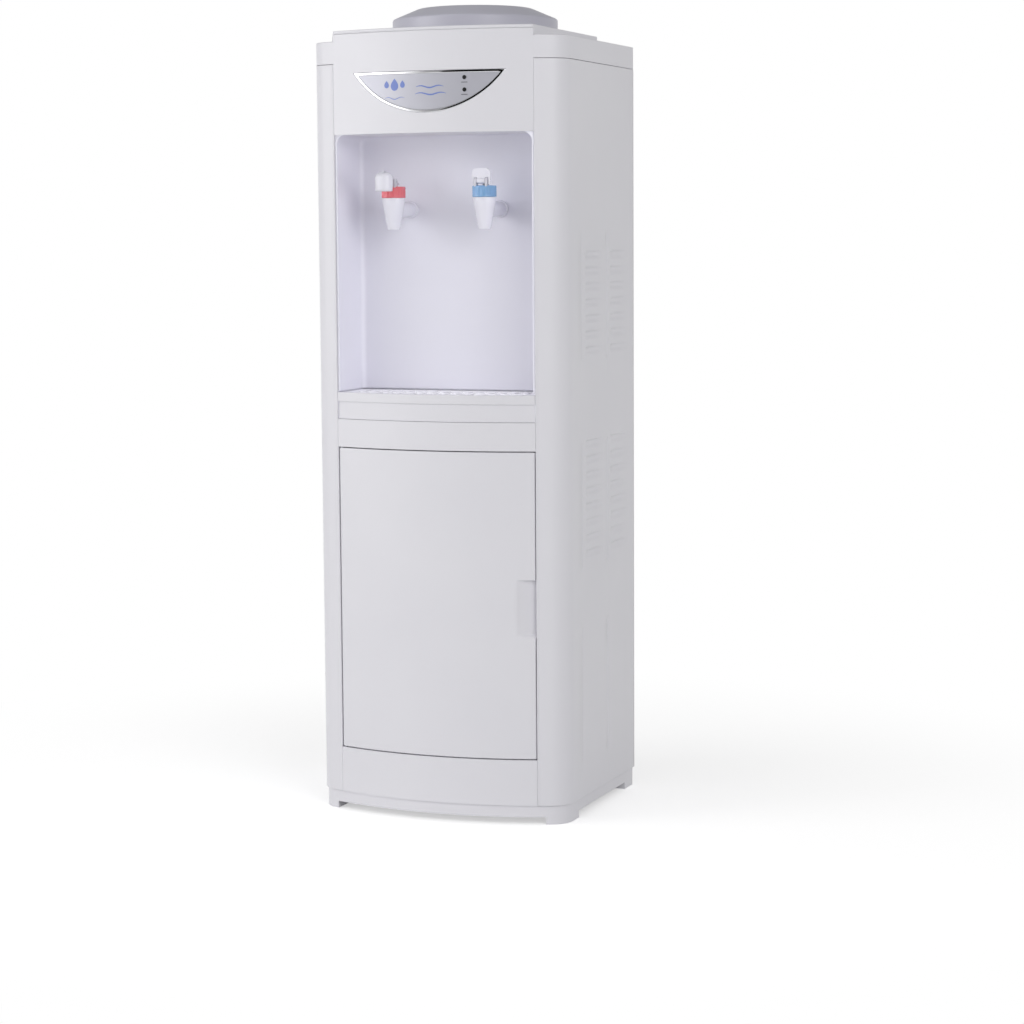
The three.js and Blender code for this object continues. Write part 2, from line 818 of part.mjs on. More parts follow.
function dripTray() {
  const grilleLow = trayTop - grilleThickness - 2 * fitGap;
  const basinHalf = trayHalf - trayWall - grilleLedge;
  const basinBackY = trayBackY - trayWall - grilleLedge;
  const step = bowStrip(-halfWidth, halfWidth, -overrun, trayLipProud);
  return cut(
    prism(bowed(trayHalf, 0, trayBackY), trayBottom, trayTop),
    prism(step, trayBottom, trayTop - trayLipDrop),
    prism(bowed(basinHalf, trayFrontWall + grilleLedge, basinBackY), trayBottom + skin, trayTop),
    prism(bowed(trayHalf - trayWall, trayFrontWall, trayBackY - trayWall), grilleLow, trayTop + overrun),
  );
}
piece("drip_tray", dripTray(), whiteAbs);

function dripGrille() {
  const low = trayTop - grilleThickness - fitGap;
  const high = trayTop - fitGap;
  const half = trayHalf - trayWall - fitGap;
  const rearY = trayBackY - trayWall - fitGap;
  const depth = trayFrontWall + fitGap;
  const field = prism(bowed(half - grilleRim, depth + grilleRim, 0), low - overrun, high + overrun);
  const slotEnd = rearY - grilleRim;
  const middle = (frontY + depth + rearY) / 2;
  const slots = [];
  for (let i = -grilleSlots; i <= grilleSlots; i += 1) {
    const x = i * grillePitch - grilleSlotWidth / 2;
    slots.push(box(x, x + grilleSlotWidth, frontY, middle - grilleBar / 2, low - overrun, high + overrun));
    slots.push(box(x, x + grilleSlotWidth, middle + grilleBar / 2, slotEnd, low - overrun, high + overrun));
  }
  return cut(prism(bowed(half, depth, rearY), low, high), join(...slots).intersect(field));
}
piece("drip_grille", dripGrille(), whiteAbs);

// Taps: a tapered spout on a flanged barrel, a coloured bonnet, a forked lever and a lifting stem
const tapY = nicheBackY - tapReach;
const barrelRadius = 8;
const barrelRoot = 10.5;
const barrelBore = 4;
const flangeRadius = 9.5;
const flangeDepth = 3;
const tailLength = 18;
const nutRadius = 11;
const nutDepth = 7;
const nutSides = 6;
const spoutRise = 12.5;
const spoutFall = 22;
const spoutRadius = 12.4;
const spoutTipRadius = 6.6;
const spoutBore = 5;
const chamberRadius = 9;
const bonnetRadius = 13.2;
const bonnetHeight = 12.2;
const bonnetBore = 10;
const bonnetRoof = 4;
const stemRadius = 2;
const stemHead = 4;
const stemHeadHeight = 2.4;
const stemFit = 0.3;
const valveRadius = 6.5;
const valveHeight = 3;
const pivotSet = 8.5;
const pivotRise = 5;
const pivotPin = 1;
const pivotFit = 0.06;
const hubRadius = 3.2;
const hubHalf = 4.6;
const earInner = 5;
const earOuter = 7.6;
const earHalf = 3.6;
const prongInner = 2.4;
const prongReach = 13.6;
const prongTop = 1;
const prongHeight = 1.9;
const paddleHalf = 10.4;
const paddleThickness = 2.6;
const armReach = 16;
const armRise = 8;
const hoodReach = 26;
const hoodHeight = 21;
const hoodRound = 4;
const archRise = 13.5;
const archRound = 5;
const archLeg = 1.9;
const archDepth = 3;
const lockHalf = 3;
const lockLength = 6;
const lockHeight = 2.4;
const lockInset = 2.2;
const lockTravel = 2.5;
const lockFloorShare = 0.6;
const spoutTop = tapZ + spoutRise;
const spoutLow = tapZ - spoutFall;
const chamberFloor = tapZ - barrelBore;
const tailEndY = nicheBackY + tailLength;
const bonnetTop = spoutTop + fitGap + bonnetHeight;
const pivotZ = bonnetTop + pivotRise;
const pivotY = tapY - pivotSet;
const pivotPinHalf = earOuter + fitGap;
const hoodTop = pivotZ + armRise + paddleThickness;
const lockFloor = hoodTop - paddleThickness * lockFloorShare;
const lockFront = pivotY - hoodReach + lockInset;
const stemHeadLow = pivotZ - prongTop + fitGap;

function tapBody(x) {
  const outside = join(
    turned([
      [0, spoutLow],
      [spoutTipRadius, spoutLow],
      [spoutRadius, spoutTop],
      [0, spoutTop],
    ], x, tapY),
    turnedY([
      [0, tapY],
      [barrelRoot, tapY],
      [barrelRadius, nicheBackY - 2 * flangeDepth],
      [barrelRadius, nicheBackY - flangeDepth],
      [flangeRadius, nicheBackY - flangeDepth],
      [flangeRadius, nicheBackY - fitGap],
      [0, nicheBackY - fitGap],
    ], x, tapZ),
    turnedY(disc(tailRadius, nicheBackY - flangeDepth, tailEndY), x, tapZ),
  );
  return cut(
    outside,
    turned(disc(spoutBore, spoutLow - overrun, spoutTop + overrun), x, tapY),
    turned(disc(chamberRadius, chamberFloor, spoutTop + overrun), x, tapY),
    rod(barrelBore, [x, tapY, tapZ], [x, tailEndY + overrun, tapZ]),
  );
}

// A bar on the lever's pivot line.
const pivotRod = (x, radius, half) => rod(radius, [x - half, pivotY, pivotZ], [x + half, pivotY, pivotZ]);

function tapBonnet(x) {
  const low = spoutTop + fitGap;
  const ring = turned([
    [bonnetBore, low],
    [bonnetRadius, low],
    [bonnetRadius, bonnetTop],
    [stemRadius + stemFit, bonnetTop],
    [stemRadius + stemFit, bonnetTop - bonnetRoof],
    [bonnetBore, bonnetTop - bonnetRoof],
  ], x, tapY);
  const ears = [x - earOuter, x + earInner].map((side) => {
    const end = side + earOuter - earInner;
    return join(
      box(side, end, pivotY - earHalf, pivotY + earHalf, bonnetTop - skin, pivotZ),
      rod(earHalf, [side, pivotY, pivotZ], [end, pivotY, pivotZ]),
    );
  });
  return cut(join(ring, ...ears), pivotRod(x, pivotPin + pivotFit, 2 * earOuter));
}

function tapStem(x) {
  const low = chamberFloor + fitGap;
  const top = stemHeadLow + stemHeadHeight;
  return turned([
    [0, low],
    [valveRadius, low],
    [valveRadius, low + valveHeight],
    [stemRadius, low + valveHeight],
    [stemRadius, stemHeadLow],
    [stemHead, stemHeadLow],
    [stemHead, top],
    [0, top],
  ], x, tapY, smallSides);
}

// The groove in the hot lever's hood that its sliding lock runs in.
function lockSlot(x) {
  const end = lockFront + lockLength + lockTravel + fitGap;
  return box(x - lockHalf, x + lockHalf, lockFront - fitGap, end, lockFloor, hoodTop + overrun);
}

// The hot paddle: an arm forward to a hood with a rounded top and a front wall for the thumb.
function hotPaddle(x) {
  const armY = pivotY - armReach;
  const frontFace = pivotY - hoodReach;
  const top = hoodTop;
  const arm = prismX([
    [pivotY, pivotZ - paddleThickness / 2],
    [pivotY, pivotZ + paddleThickness / 2],
    [armY, top],
    [armY, top - paddleThickness],
  ], x - hubHalf, x + hubHalf);
  const corner = (radius) => arcPoints(
    frontFace + hoodRound, top - hoodRound, radius, Math.PI / 2, Math.PI, filletSteps,
  );
  const inner = hoodRound - paddleThickness;
  const hood = prismX([
    [armY, top],
    ...corner(hoodRound),
    [frontFace, top - hoodHeight],
    [frontFace + paddleThickness, top - hoodHeight],
    ...corner(inner).reverse(),
    [armY, top - paddleThickness],
  ], x - paddleHalf, x + paddleHalf);
  return cut(join(arm, hood), lockSlot(x));
}

// The cold paddle: an upright arch whose legs stand outside the bonnet's ears.
function coldPaddle(x) {
  const top = pivotZ + archRise;
  const outer = paddleHalf - archRound;
  const half = archDepth / 2;
  const right = arcPoints(x + outer, top - archRound, archRound, 0, Math.PI / 2, filletSteps);
  const left = arcPoints(x - outer, top - archRound, archRound, Math.PI / 2, Math.PI, filletSteps);
  const arch = prismY([
    [x - paddleHalf, pivotZ - earHalf],
    [x + paddleHalf, pivotZ - earHalf],
    ...right,
    ...left,
  ], pivotY - half, pivotY + half);
  const roomHalf = paddleHalf - archLeg;
  const roomTop = pivotZ + earHalf + fitGap;
  const room = box(x - roomHalf, x + roomHalf, pivotY - archDepth, pivotY + archDepth, 0, roomTop);
  const neck = box(x - hubHalf, x + hubHalf, pivotY - half, pivotY + half, pivotZ, top - archRound / 2);
  return join(cut(arch, room), neck);
}

function tapLever(x, paddle) {
  const prongHigh = pivotZ - prongTop;
  const prongWidth = hubHalf - prongInner;
  const prongs = [x - hubHalf, x + prongInner].map((start) =>
    box(start, start + prongWidth, pivotY, pivotY + prongReach, prongHigh - prongHeight, prongHigh),
  );
  const body = join(pivotRod(x, hubRadius, hubHalf), ...prongs, paddle(x));
  return cut(body, pivotRod(x, pivotPin + pivotFit, 2 * earOuter));
}

function tapLock(x) {
  const low = lockFloor + fitGap / 2;
  const near = x + lockHalf - fitGap;
  return box(x - lockHalf + fitGap, near, lockFront, lockFront + lockLength, low, low + lockHeight);
}

function tapNut(x) {
  const y = nicheBackY + skin + fitGap;
  return cut(
    turnedY(disc(nutRadius, y, y + nutDepth), x, tapZ, nutSides),
    turnedY(disc(tailRadius + pinFit, y - overrun, y + nutDepth + overrun), x, tapZ),
  );
}

function tap(name, x, bonnetColour, paddle) {
  piece(`${name}_body`, tapBody(x), tapWhite);
  piece(`${name}_bonnet`, tapBonnet(x), bonnetColour);
  piece(`${name}_stem`, tapStem(x), silicone);
  piece(`${name}_lever`, tapLever(x, paddle), tapWhite);
  piece(`${name}_pin`, pivotRod(x, pivotPin, pivotPinHalf), steel);
  piece(`${name}_nut`, tapNut(x), tapWhite);
}
tap("hot_tap", -tapX, hotRed, hotPaddle);
piece("hot_tap_lock", tapLock(-tapX), tapWhite);
tap("cold_tap", tapX, coldBlue, coldPaddle);

// Tank frame: a bent steel ring with a shelf for each tank
const sheet = 1.2;
const neckOverlap = 3.2;
const coldHeight = 135;
const coldRise = 15;
const shelfSpan = 170;
const frameFrontGap = 9.8;
const frameRearGap = 5.8;
const coldTop = outletEnd + neckOverlap;
const coldLow = coldTop - coldHeight;
const shelfHigh = coldLow - coldRise;
const shelfLow = shelfHigh - shelfSpan;
const frameHalf = halfWidth - skin - fitGap;
const rearPanelY = ribBackY + fitGap;
const frameFrontY = nicheBackY + skin + frameFrontGap;
const frameBackY = rearPanelY - frameRearGap;
const hoseRadius = 5;
const hoseHole = 6.5;
const tankY = seatY;
const feedX = -16;
const riserX = -64;
const riserSlot = 26;

function tankFrame() {
  const outer = box(-frameHalf, frameHalf, frameFrontY, frameBackY, shelfLow, shelfHigh + sheet);
  const room = box(
    -frameHalf + sheet, frameHalf - sheet, frameFrontY - overrun, frameBackY + overrun,
    shelfLow + sheet, shelfHigh,
  );
  const [low, high] = [shelfHigh - overrun, shelfHigh + 2 * overrun];
  const feedHole = rod(hoseHole, [feedX, tankY, low], [feedX, tankY, high]);
  const [riserFront, riserBack] = [tankY - hoseHole - riserSlot / 2, tankY + hoseHole + riserSlot / 4];
  const riserHole = box(riserX - riserSlot / 2, riserX + riserSlot / 2, riserFront, riserBack, low, high);
  return cut(outer, room, feedHole, riserHole);
}
piece("tank_frame", tankFrame(), zincSheet);

// Cold tank: a deep-drawn cup whose neck takes the seat's outlet, in a foam jacket
const tankWall = 1.5;
const coldRadius = 34;
const neckRadius = 13;
const neckHeight = 8;
const foamWall = 8;
const foamFrontWall = 22.5;
const foamRearWall = 6.5;
const stubBore = 3;
const stubReach = 16;
const blockHalf = 20;
const coolRise = 65;
const foamHalf = coldRadius + foamWall;
const foamFrontY = tankY - coldRadius - foamFrontWall;
const foamBackY = tankY + coldRadius + foamRearWall;
const stubEnd = coldRadius + stubReach;
const coolZ = coldLow + coolRise;

// A square block centred on the cooling axis.
const around = (half, y0, y1) => box(-half, half, y0, y1, coolZ - half, coolZ + half);

function coldTank() {
  const neckBore = outletRadius + fitGap;
  const cup = turned([
    [0, coldLow],
    [coldRadius, coldLow],
    [coldRadius, coldTop],
    [neckRadius, coldTop],
    [neckRadius, coldTop + neckHeight],
    [neckBore, coldTop + neckHeight],
    [neckBore, coldTop - tankWall],
    [coldRadius - tankWall, coldTop - tankWall],
    [coldRadius - tankWall, coldLow + tankWall],
    [0, coldLow + tankWall],
  ], 0, tankY, largeSides);
  const inside = coldRadius - 2 * tankWall;
  const stubs = [
    rod(hoseRadius, [inside, tankY, tapZ], [stubEnd, tankY, tapZ]),
    rod(hoseRadius, [feedX, tankY, shelfHigh - overrun], [feedX, tankY, coldLow + tankWall]),
  ];
  const bores = [
    rod(stubBore, [0, tankY, tapZ], [stubEnd + overrun, tankY, tapZ]),
    rod(stubBore, [feedX, tankY, shelfHigh - 2 * overrun], [feedX, tankY, coldLow + coldRise]),
  ];
  return cut(join(cup, ...stubs), ...bores);
}
piece("cold_tank", coldTank(), steel);

function foamJacket() {
  const low = shelfHigh + sheet + fitGap;
  const block = box(-foamHalf, foamHalf, foamFrontY, foamBackY, low, coldTop);
  return cut(
    block,
    turned(disc(coldRadius + fitGap, coldLow - fitGap, coldTop + overrun), 0, tankY, largeSides),
    rod(hoseRadius + fitGap, [0, tankY, tapZ], [foamHalf + overrun, tankY, tapZ]),
    rod(hoseRadius + fitGap, [feedX, tankY, low - overrun], [feedX, tankY, coldLow]),
    around(blockHalf + fitGap, tankY, foamBackY + overrun),
  );
}
piece("cold_tank_foam", foamJacket(), foam);

// Cooling: a block on the tank, the thermo-electric module, its finned sink and the fan
const blockDepth = 9.5;
const moduleDepth = 3.6;
const sinkHalf = 45;
const sinkBase = 4;
const finCount = 11;
const finThickness = 1.6;
const fanDepth = 25;
const fanBore = 42;
const fanHub = 14;
const fanShaft = 2;
const fanStrut = 4;
const strutHeight = 3.5;
const bladeCount = 7;
const bladeTip = 39;
const bladeChord = 16;
const bladeThickness = 1.4;
const bladePitch = 0.62;
const blockY = tankY + coldRadius + fitGap;
const moduleY = blockY + blockDepth + fitGap;
const sinkY = moduleY + moduleDepth + fitGap;
const fanBackY = rearPanelY - fitGap;
const fanFrontY = fanBackY - fanDepth;
const finEndY = fanFrontY - fitGap;

piece("cold_block", around(blockHalf, blockY, blockY + blockDepth), aluminium);
piece("peltier_module", around(blockHalf, moduleY, moduleY + moduleDepth), tapWhite);

function heatSink() {
  const pitch = (2 * sinkHalf - finThickness) / (finCount - 1);
  const fins = Array.from({ length: finCount }, (_, i) => {
    const x = -sinkHalf + i * pitch;
    return box(x, x + finThickness, sinkY, finEndY, coolZ - sinkHalf, coolZ + sinkHalf);
  });
  return join(around(sinkHalf, sinkY, sinkY + sinkBase), ...fins);
}
piece("heat_sink", heatSink(), aluminium);

function fanFrame() {
  const strutY = fanBackY - strutHeight;
  const ring = cut(
    around(sinkHalf, fanFrontY, fanBackY),
    turnedY(disc(fanBore, fanFrontY - overrun, fanBackY + overrun), 0, coolZ, largeSides),
  );
  return join(
    ring,
    box(-fanBore - overrun, fanBore + overrun, strutY, fanBackY, coolZ - fanStrut / 2, coolZ + fanStrut / 2),
    box(-fanStrut / 2, fanStrut / 2, strutY, fanBackY, coolZ - fanBore - overrun, coolZ + fanBore + overrun),
    turnedY(disc(fanHub, strutY, fanBackY), 0, coolZ),
    turnedY(disc(fanShaft, fanFrontY + strutHeight, fanBackY), 0, coolZ, smallSides),
  );
}
piece("fan_frame", fanFrame(), blackPlastic);

function fanRotor() {
  const low = fanFrontY + strutHeight / 2;
  const high = fanBackY - strutHeight - fitGap;
  const hub = turnedY(sleeve(fanShaft + pivotFit, fanHub, low, high), 0, coolZ, mediumSides);
  const blades = Array.from({ length: bladeCount }, (_, i) => {
    const length = bladeTip - fanHub + overrun;
    const geometry = new THREE.BoxGeometry(length, bladeThickness, bladeChord);
    geometry.rotateX(bladePitch);
    geometry.translate(fanHub - overrun + length / 2, 0, 0);
    geometry.rotateY((2 * Math.PI * i) / bladeCount);
    geometry.translate(0, (low + high) / 2, coolZ);
    return solid(geometry);
  });
  return join(hub, ...blades);
}
piece("fan_rotor", fanRotor(), blackPlastic);

// Hot tank: a steel can with a band heater, its hoses and the drain at the back
const hotShift = 11;
const hotRadius = 42;
const hotHeight = 118;
const hotStub = 9;
const hotRiserX = -28;
const hotRiserShift = 18;
const bandLow = 26;
const bandHeight = 34;
const bandThickness = 1.6;
const drainRise = 12;
const hotY = tankY + hotShift;
const hotRiserY = hotY + hotRiserShift;
const hotLow = shelfLow + sheet + fitGap;
const hotTop = hotLow + hotHeight;
const drainZ = hotLow + drainRise;
const drainStart = hotY + hotRadius + hotStub;

function hotTank() {
  const t = tankWall;
  const can = cut(
    turned(disc(hotRadius, hotLow, hotTop), 0, hotY, largeSides),
    turned(disc(hotRadius - t, hotLow + t, hotTop - t), 0, hotY, largeSides),
  );
  const upright = (radius, x, y, low, high) => rod(radius, [x, y, low], [x, y, high]);
  const ports = [
    [feedX, tankY],
    [hotRiserX, hotRiserY],
  ];
  const stubs = ports.map(([x, y]) => upright(hoseRadius, x, y, hotTop - t, hotTop + hotStub));
  const bores = ports.map(([x, y]) => upright(stubBore, x, y, hotTop - hotStub, hotTop + 2 * hotStub));
  const drain = rod(hoseRadius, [0, hotY + hotRadius - 2 * t, drainZ], [0, drainStart, drainZ]);
  const drainBore = rod(stubBore, [0, hotY, drainZ], [0, drainStart + overrun, drainZ]);
  return cut(join(can, ...stubs, drain), ...bores, drainBore);
}
piece("hot_tank", hotTank(), steel);

const bandInner = hotRadius + fitGap;
const bandStart = hotLow + bandLow;
const heaterBand = turned(
  sleeve(bandInner, bandInner + bandThickness, bandStart, bandStart + bandHeight), 0, hotY, largeSides,
);
piece("heater_band", heaterBand, aluminium);

// Hoses, butted to their stubs
const hoseSteps = 12;
const feedEnd = shelfHigh - overrun - fitGap;
const feedHose = rod(hoseRadius, [feedX, tankY, hotTop + hotStub + fitGap], [feedX, tankY, feedEnd]);
piece("hot_feed_hose", feedHose, silicone);

// A hose whose bends are given as shares of the way from its start to its end.
function bentHose(start, end, bendShares) {
  const from = new THREE.Vector3(...start);
  const to = new THREE.Vector3(...end);
  const middle = bendShares.map(([sx, sy, sz]) => [
    from.x + (to.x - from.x) * sx,
    from.y + (to.y - from.y) * sy,
    from.z + (to.z - from.z) * sz,
  ]);
  return hose([start, ...middle, end], hoseRadius, hoseSteps);
}
const hotHoseShares = [
  [0, 0, 0.1],
  [0.9, 0.22, 0.32],
  [1.35, 0.5, 0.66],
  [1, 0.86, 1],
];
const hotHoseStart = [hotRiserX, hotRiserY, hotTop + hotStub + fitGap];
const hotRise = bentHose(hotHoseStart, [-tapX, tailEndY + fitGap, tapZ], hotHoseShares);
piece("hot_hose", hotRise, silicone);

const coldHoseShares = [
  [1.6, 0, 1],
  [2.8, 0.4, 1],
  [1, 0.8, 1],
];
const coldHoseStart = [stubEnd + fitGap, tankY, tapZ];
const coldRun = bentHose(coldHoseStart, [tapX, tailEndY + fitGap, tapZ], coldHoseShares);
piece("cold_hose", coldRun, silicone);

// Rear panel with its fan grille, vents and fittings
const grilleRadius = 40;
const slotPitch = 8.5;
const slotHeight = 4.4;
const slotRows = 4;
const slotBar = 4;
const ventX = 62;
const ventWidth = 56;
const ventRise = 30;
const ventRows = 7;
const switchInset = 35.2;
const switchRise = 50;
const switchWidth = 34;
const switchHeight = 26;
const drainRadius = 8;
const drainThread = 6;
const drainNose = 6;
const capOuter = 9.5;
const drainCapDepth = 6.5;
const glandInset = 51.2;
const glandDrop = 18;
const glandRadius = 6;
const glandRim = 9;
const glandRimDepth = 2.5;
const glandBore = 3.5;
const rearFaceY = rearPanelY + skin;
const switchX = -frameHalf + switchInset;
const switchZ = shelfLow + switchRise;
const glandX = -frameHalf + glandInset;
const glandZ = shelfLow - glandDrop;

function rearPanel() {
  const y0 = rearPanelY - overrun;
  const y1 = rearFaceY + overrun;
  const slots = [];
  for (let i = -slotRows; i <= slotRows; i += 1) {
    const z = coolZ + i * slotPitch;
    const half = Math.sqrt(grilleRadius ** 2 - (i * slotPitch) ** 2);
    slots.push(...boxPair(slotBar / 2, half, y0, y1, z - slotHeight / 2, z + slotHeight / 2));
  }
  for (let i = 0; i < ventRows; i += 1) {
    const z = shelfLow + ventRise + i * slotPitch;
    slots.push(box(ventX, ventX + ventWidth, y0, y1, z, z + slotHeight));
  }
  return cut(
    box(-frameHalf, frameHalf, rearPanelY, rearFaceY, frameBottom, sideTop),
    ...slots,
    box(switchX, switchX + switchWidth, y0, y1, switchZ, switchZ + switchHeight),
    turnedY(disc(drainThread + fitGap, y0, y1), 0, drainZ),
    turnedY(disc(glandRadius + fitGap, y0, y1), glandX, glandZ),
  );
}
piece("rear_panel", rearPanel(), whiteAbs);

const drainNoseY = rearFaceY + drainNose;
const drainPipe = turnedY([
  [stubBore, drainStart + fitGap],
  [hoseRadius, drainStart + fitGap],
  [hoseRadius, rearPanelY - 2 * skin],
  [drainRadius, rearPanelY - 2 * skin],
  [drainRadius, rearPanelY - fitGap],
  [drainThread, rearPanelY - fitGap],
  [drainThread, drainNoseY],
  [stubBore, drainNoseY],
], 0, drainZ);
piece("drain_hose", drainPipe, silicone);

const capFront = rearFaceY + fitGap;
const drainCapEnd = capFront + drainCapDepth + skin / 2;
const drainCap = cut(
  turnedY(disc(capOuter, capFront, drainCapEnd), 0, drainZ),
  turnedY(disc(drainThread + pinFit, capFront - overrun, drainNoseY + fitGap), 0, drainZ),
);
piece("drain_cap", drainCap, whiteAbs);

const gland = turnedY([
  [glandBore, rearPanelY - glandRimDepth],
  [glandRim, rearPanelY - glandRimDepth],
  [glandRim, rearPanelY - pinFit],
  [glandRadius, rearPanelY - pinFit],
  [glandRadius, rearFaceY + pinFit],
  [glandRim, rearFaceY + pinFit],
  [glandRim, rearFaceY + glandRimDepth],
  [glandBore, rearFaceY + glandRimDepth],
], glandX, glandZ);
piece("cord_gland", gland, rubber);

// Switches: two rockers in one frame, each tilting about a level axis
const rimWidth = 3;
const rimDepth = 1.6;
const switchDepth = 12;
const rockerWidth = 12;
const rockerHalf = 9;
const rockerPeak = 2.2;
const rockerTilt = 0.14;
const rockerBody = 4;
const rockerFootShare = 0.5;
const switchNames = ["heat", "cool"];

// Middle of a rocker's window, counted from the frame's left.
const rockerX = (i) => switchX + (switchWidth * (2 * i + 1)) / 4;
const rockerZ = switchZ + switchHeight / 2;

// A slab over the switch window, grown by a margin.
function switchSlab(margin, y0, y1) {
  return box(
    switchX - margin, switchX + switchWidth + margin, y0, y1,
    switchZ - margin, switchZ + switchHeight + margin,
  );
}

function switchFrame() {
  const rim = switchSlab(rimWidth, rearFaceY + pinFit, rearFaceY + rimDepth);
  const well = switchSlab(-fitGap, rearFaceY - switchDepth, rearFaceY + rimDepth / 2);
  const half = rockerWidth / 2 + fitGap;
  const reach = rockerHalf + 2 * fitGap;
  const floor = rearFaceY - switchDepth + skin;
  const windows = switchNames.map((_, i) => {
    const x = rockerX(i);
    return box(x - half, x + half, floor, rearFaceY + overrun, rockerZ - reach, rockerZ + reach);
  });
  return cut(join(rim, well), ...windows);
}
piece("switch_frame", switchFrame(), blackPlastic);

function rocker(x) {
  const outline = [
    [-rockerBody, -rockerHalf * rockerFootShare],
    [0, -rockerHalf],
    [rockerPeak, 0],
    [0, rockerHalf],
    [-rockerBody, rockerHalf * rockerFootShare],
  ].map(([y, z]) => [
    rearFaceY + y * Math.cos(rockerTilt) - z * Math.sin(rockerTilt),
    rockerZ + y * Math.sin(rockerTilt) + z * Math.cos(rockerTilt),
  ]);
  return prismX(outline, x - rockerWidth / 2, x + rockerWidth / 2);
}
switchNames.forEach((name, i) => {
  piece(`${name}_switch`, rocker(rockerX(i)), i === 0 ? hotRed : coldBlue);
});

// Power board on the frame's right leg, with its transformer and capacitors
const powerRise = 22;
const powerHeight = 84;
const powerSetback = 36;
const powerLength = 96;
const standoffLength = 12.1;
const transformerSize = 34;
const capacitorRadius = 7;
const capacitorHeight = 22;
const standoffRadius = 3;

const powerLow = shelfLow + powerRise;
const powerFrontY = frameBackY - powerSetback - powerLength;
const legX = frameHalf - sheet - fitGap;
const powerX = legX - standoffLength - boardThickness;

// Places on the board: shares of its length and height
const standoffShares = [
  [0.08, 0.1],
  [0.92, 0.9],
];
const capacitorShares = [
  [0.62, 0.3],
  [0.82, 0.3],
];
const transformerShares = [0.12, 0.3];

function powerBoard() {
  const plateX = powerX + boardThickness;
  const middle = powerX + boardThickness / 2;
  const at = ([along, up]) => [powerFrontY + powerLength * along, powerLow + powerHeight * up];
  const bars = (shares, radius, endX) => shares.map((place) => {
    const [y, z] = at(place);
    return rod(radius, [middle, y, z], [endX, y, z]);
  });
  const [y, z] = at(transformerShares);
  return join(
    box(powerX, plateX, powerFrontY, powerFrontY + powerLength, powerLow, powerLow + powerHeight),
    box(powerX - transformerSize, middle, y, y + transformerSize, z, z + transformerSize),
    ...bars(capacitorShares, capacitorRadius, powerX - capacitorHeight),
    ...bars(standoffShares, standoffRadius, legX),
  );
}
piece("power_board", powerBoard(), circuitGreen);

unit.updateMatrixWorld(true);
export default unit;
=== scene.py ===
import math

import bmesh
import bpy
import numpy as np
from mathutils import Matrix


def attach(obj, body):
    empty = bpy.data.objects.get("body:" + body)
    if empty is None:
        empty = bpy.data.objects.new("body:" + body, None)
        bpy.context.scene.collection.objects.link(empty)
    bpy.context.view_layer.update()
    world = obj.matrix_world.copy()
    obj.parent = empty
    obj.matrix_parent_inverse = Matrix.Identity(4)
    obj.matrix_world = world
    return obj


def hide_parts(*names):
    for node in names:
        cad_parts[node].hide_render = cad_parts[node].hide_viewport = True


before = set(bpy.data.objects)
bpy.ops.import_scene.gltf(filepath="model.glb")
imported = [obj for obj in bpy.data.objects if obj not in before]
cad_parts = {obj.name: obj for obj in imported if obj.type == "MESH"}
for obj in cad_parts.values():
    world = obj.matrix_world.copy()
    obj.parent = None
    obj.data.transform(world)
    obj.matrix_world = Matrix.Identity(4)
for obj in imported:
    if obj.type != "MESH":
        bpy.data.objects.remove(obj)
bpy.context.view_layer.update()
bpy.context.scene.view_settings.view_transform = "Standard"

# Camera: a long lens to the right of the front, at the height of the taps, looking a little down.
# Its place, turn and focal length come from matching the cabinet's edges in the photograph.
photo_side, focal_pixels, sensor_width = 1024, 2585.6, 36
camera_place = (1.11434, -2.72131, 0.64877)
yaw, pitch, roll = 0.373956, 0.107578, -0.006628
lens = bpy.data.cameras.new("camera")
lens.sensor_width = sensor_width
lens.lens = focal_pixels / photo_side * sensor_width
lens.clip_end = 50
camera = bpy.data.objects.new("camera", lens)
bpy.context.collection.objects.link(camera)
bpy.context.scene.camera = camera
ahead = np.array([-math.sin(yaw) * math.cos(pitch), math.cos(yaw) * math.cos(pitch), -math.sin(pitch)])
level = np.array([math.cos(yaw), math.sin(yaw), 0])
sunk = np.cross(ahead, level)
rightward = math.cos(roll) * level - math.sin(roll) * sunk
upward = -(math.sin(roll) * level + math.cos(roll) * sunk)
turn = np.eye(4)
turn[:3, 0], turn[:3, 1], turn[:3, 2], turn[:3, 3] = rightward, upward, -ahead, camera_place
camera.matrix_world = Matrix(turn.tolist())


# Plinth: one ABS tray, open below, with a moulded foot under each corner. It carries the whole
# cabinet: the side panels and the lower front frame stand on its rim and are screwed to it.
def linear(colour):
    """An sRGB hex colour as linear RGBA."""
    parts = np.array([int(colour[i : i + 2], 16) for i in (1, 3, 5)]) / 255
    light = np.where(parts <= 0.04045, parts / 12.92, ((parts + 0.055) / 1.055) ** 2.4)
    return (*map(float, light), 1.0)


def blank(block):
    """The node tree of a new material or world, emptied."""
    block.use_nodes = True
    block.node_tree.nodes.clear()
    return block.node_tree


def add(tree, kind, links=None, **settings):
    """Adds a shader node with its settings, and links or fills the inputs named in links."""
    made = tree.nodes.new(f"ShaderNode{kind}")
    for key, value in settings.items():
        setattr(made, key, value)
    for key, value in (links or {}).items():
        if isinstance(value, bpy.types.NodeSocket):
            tree.links.new(value, made.inputs[key])
        else:
            made.inputs[key].default_value = value
    return made


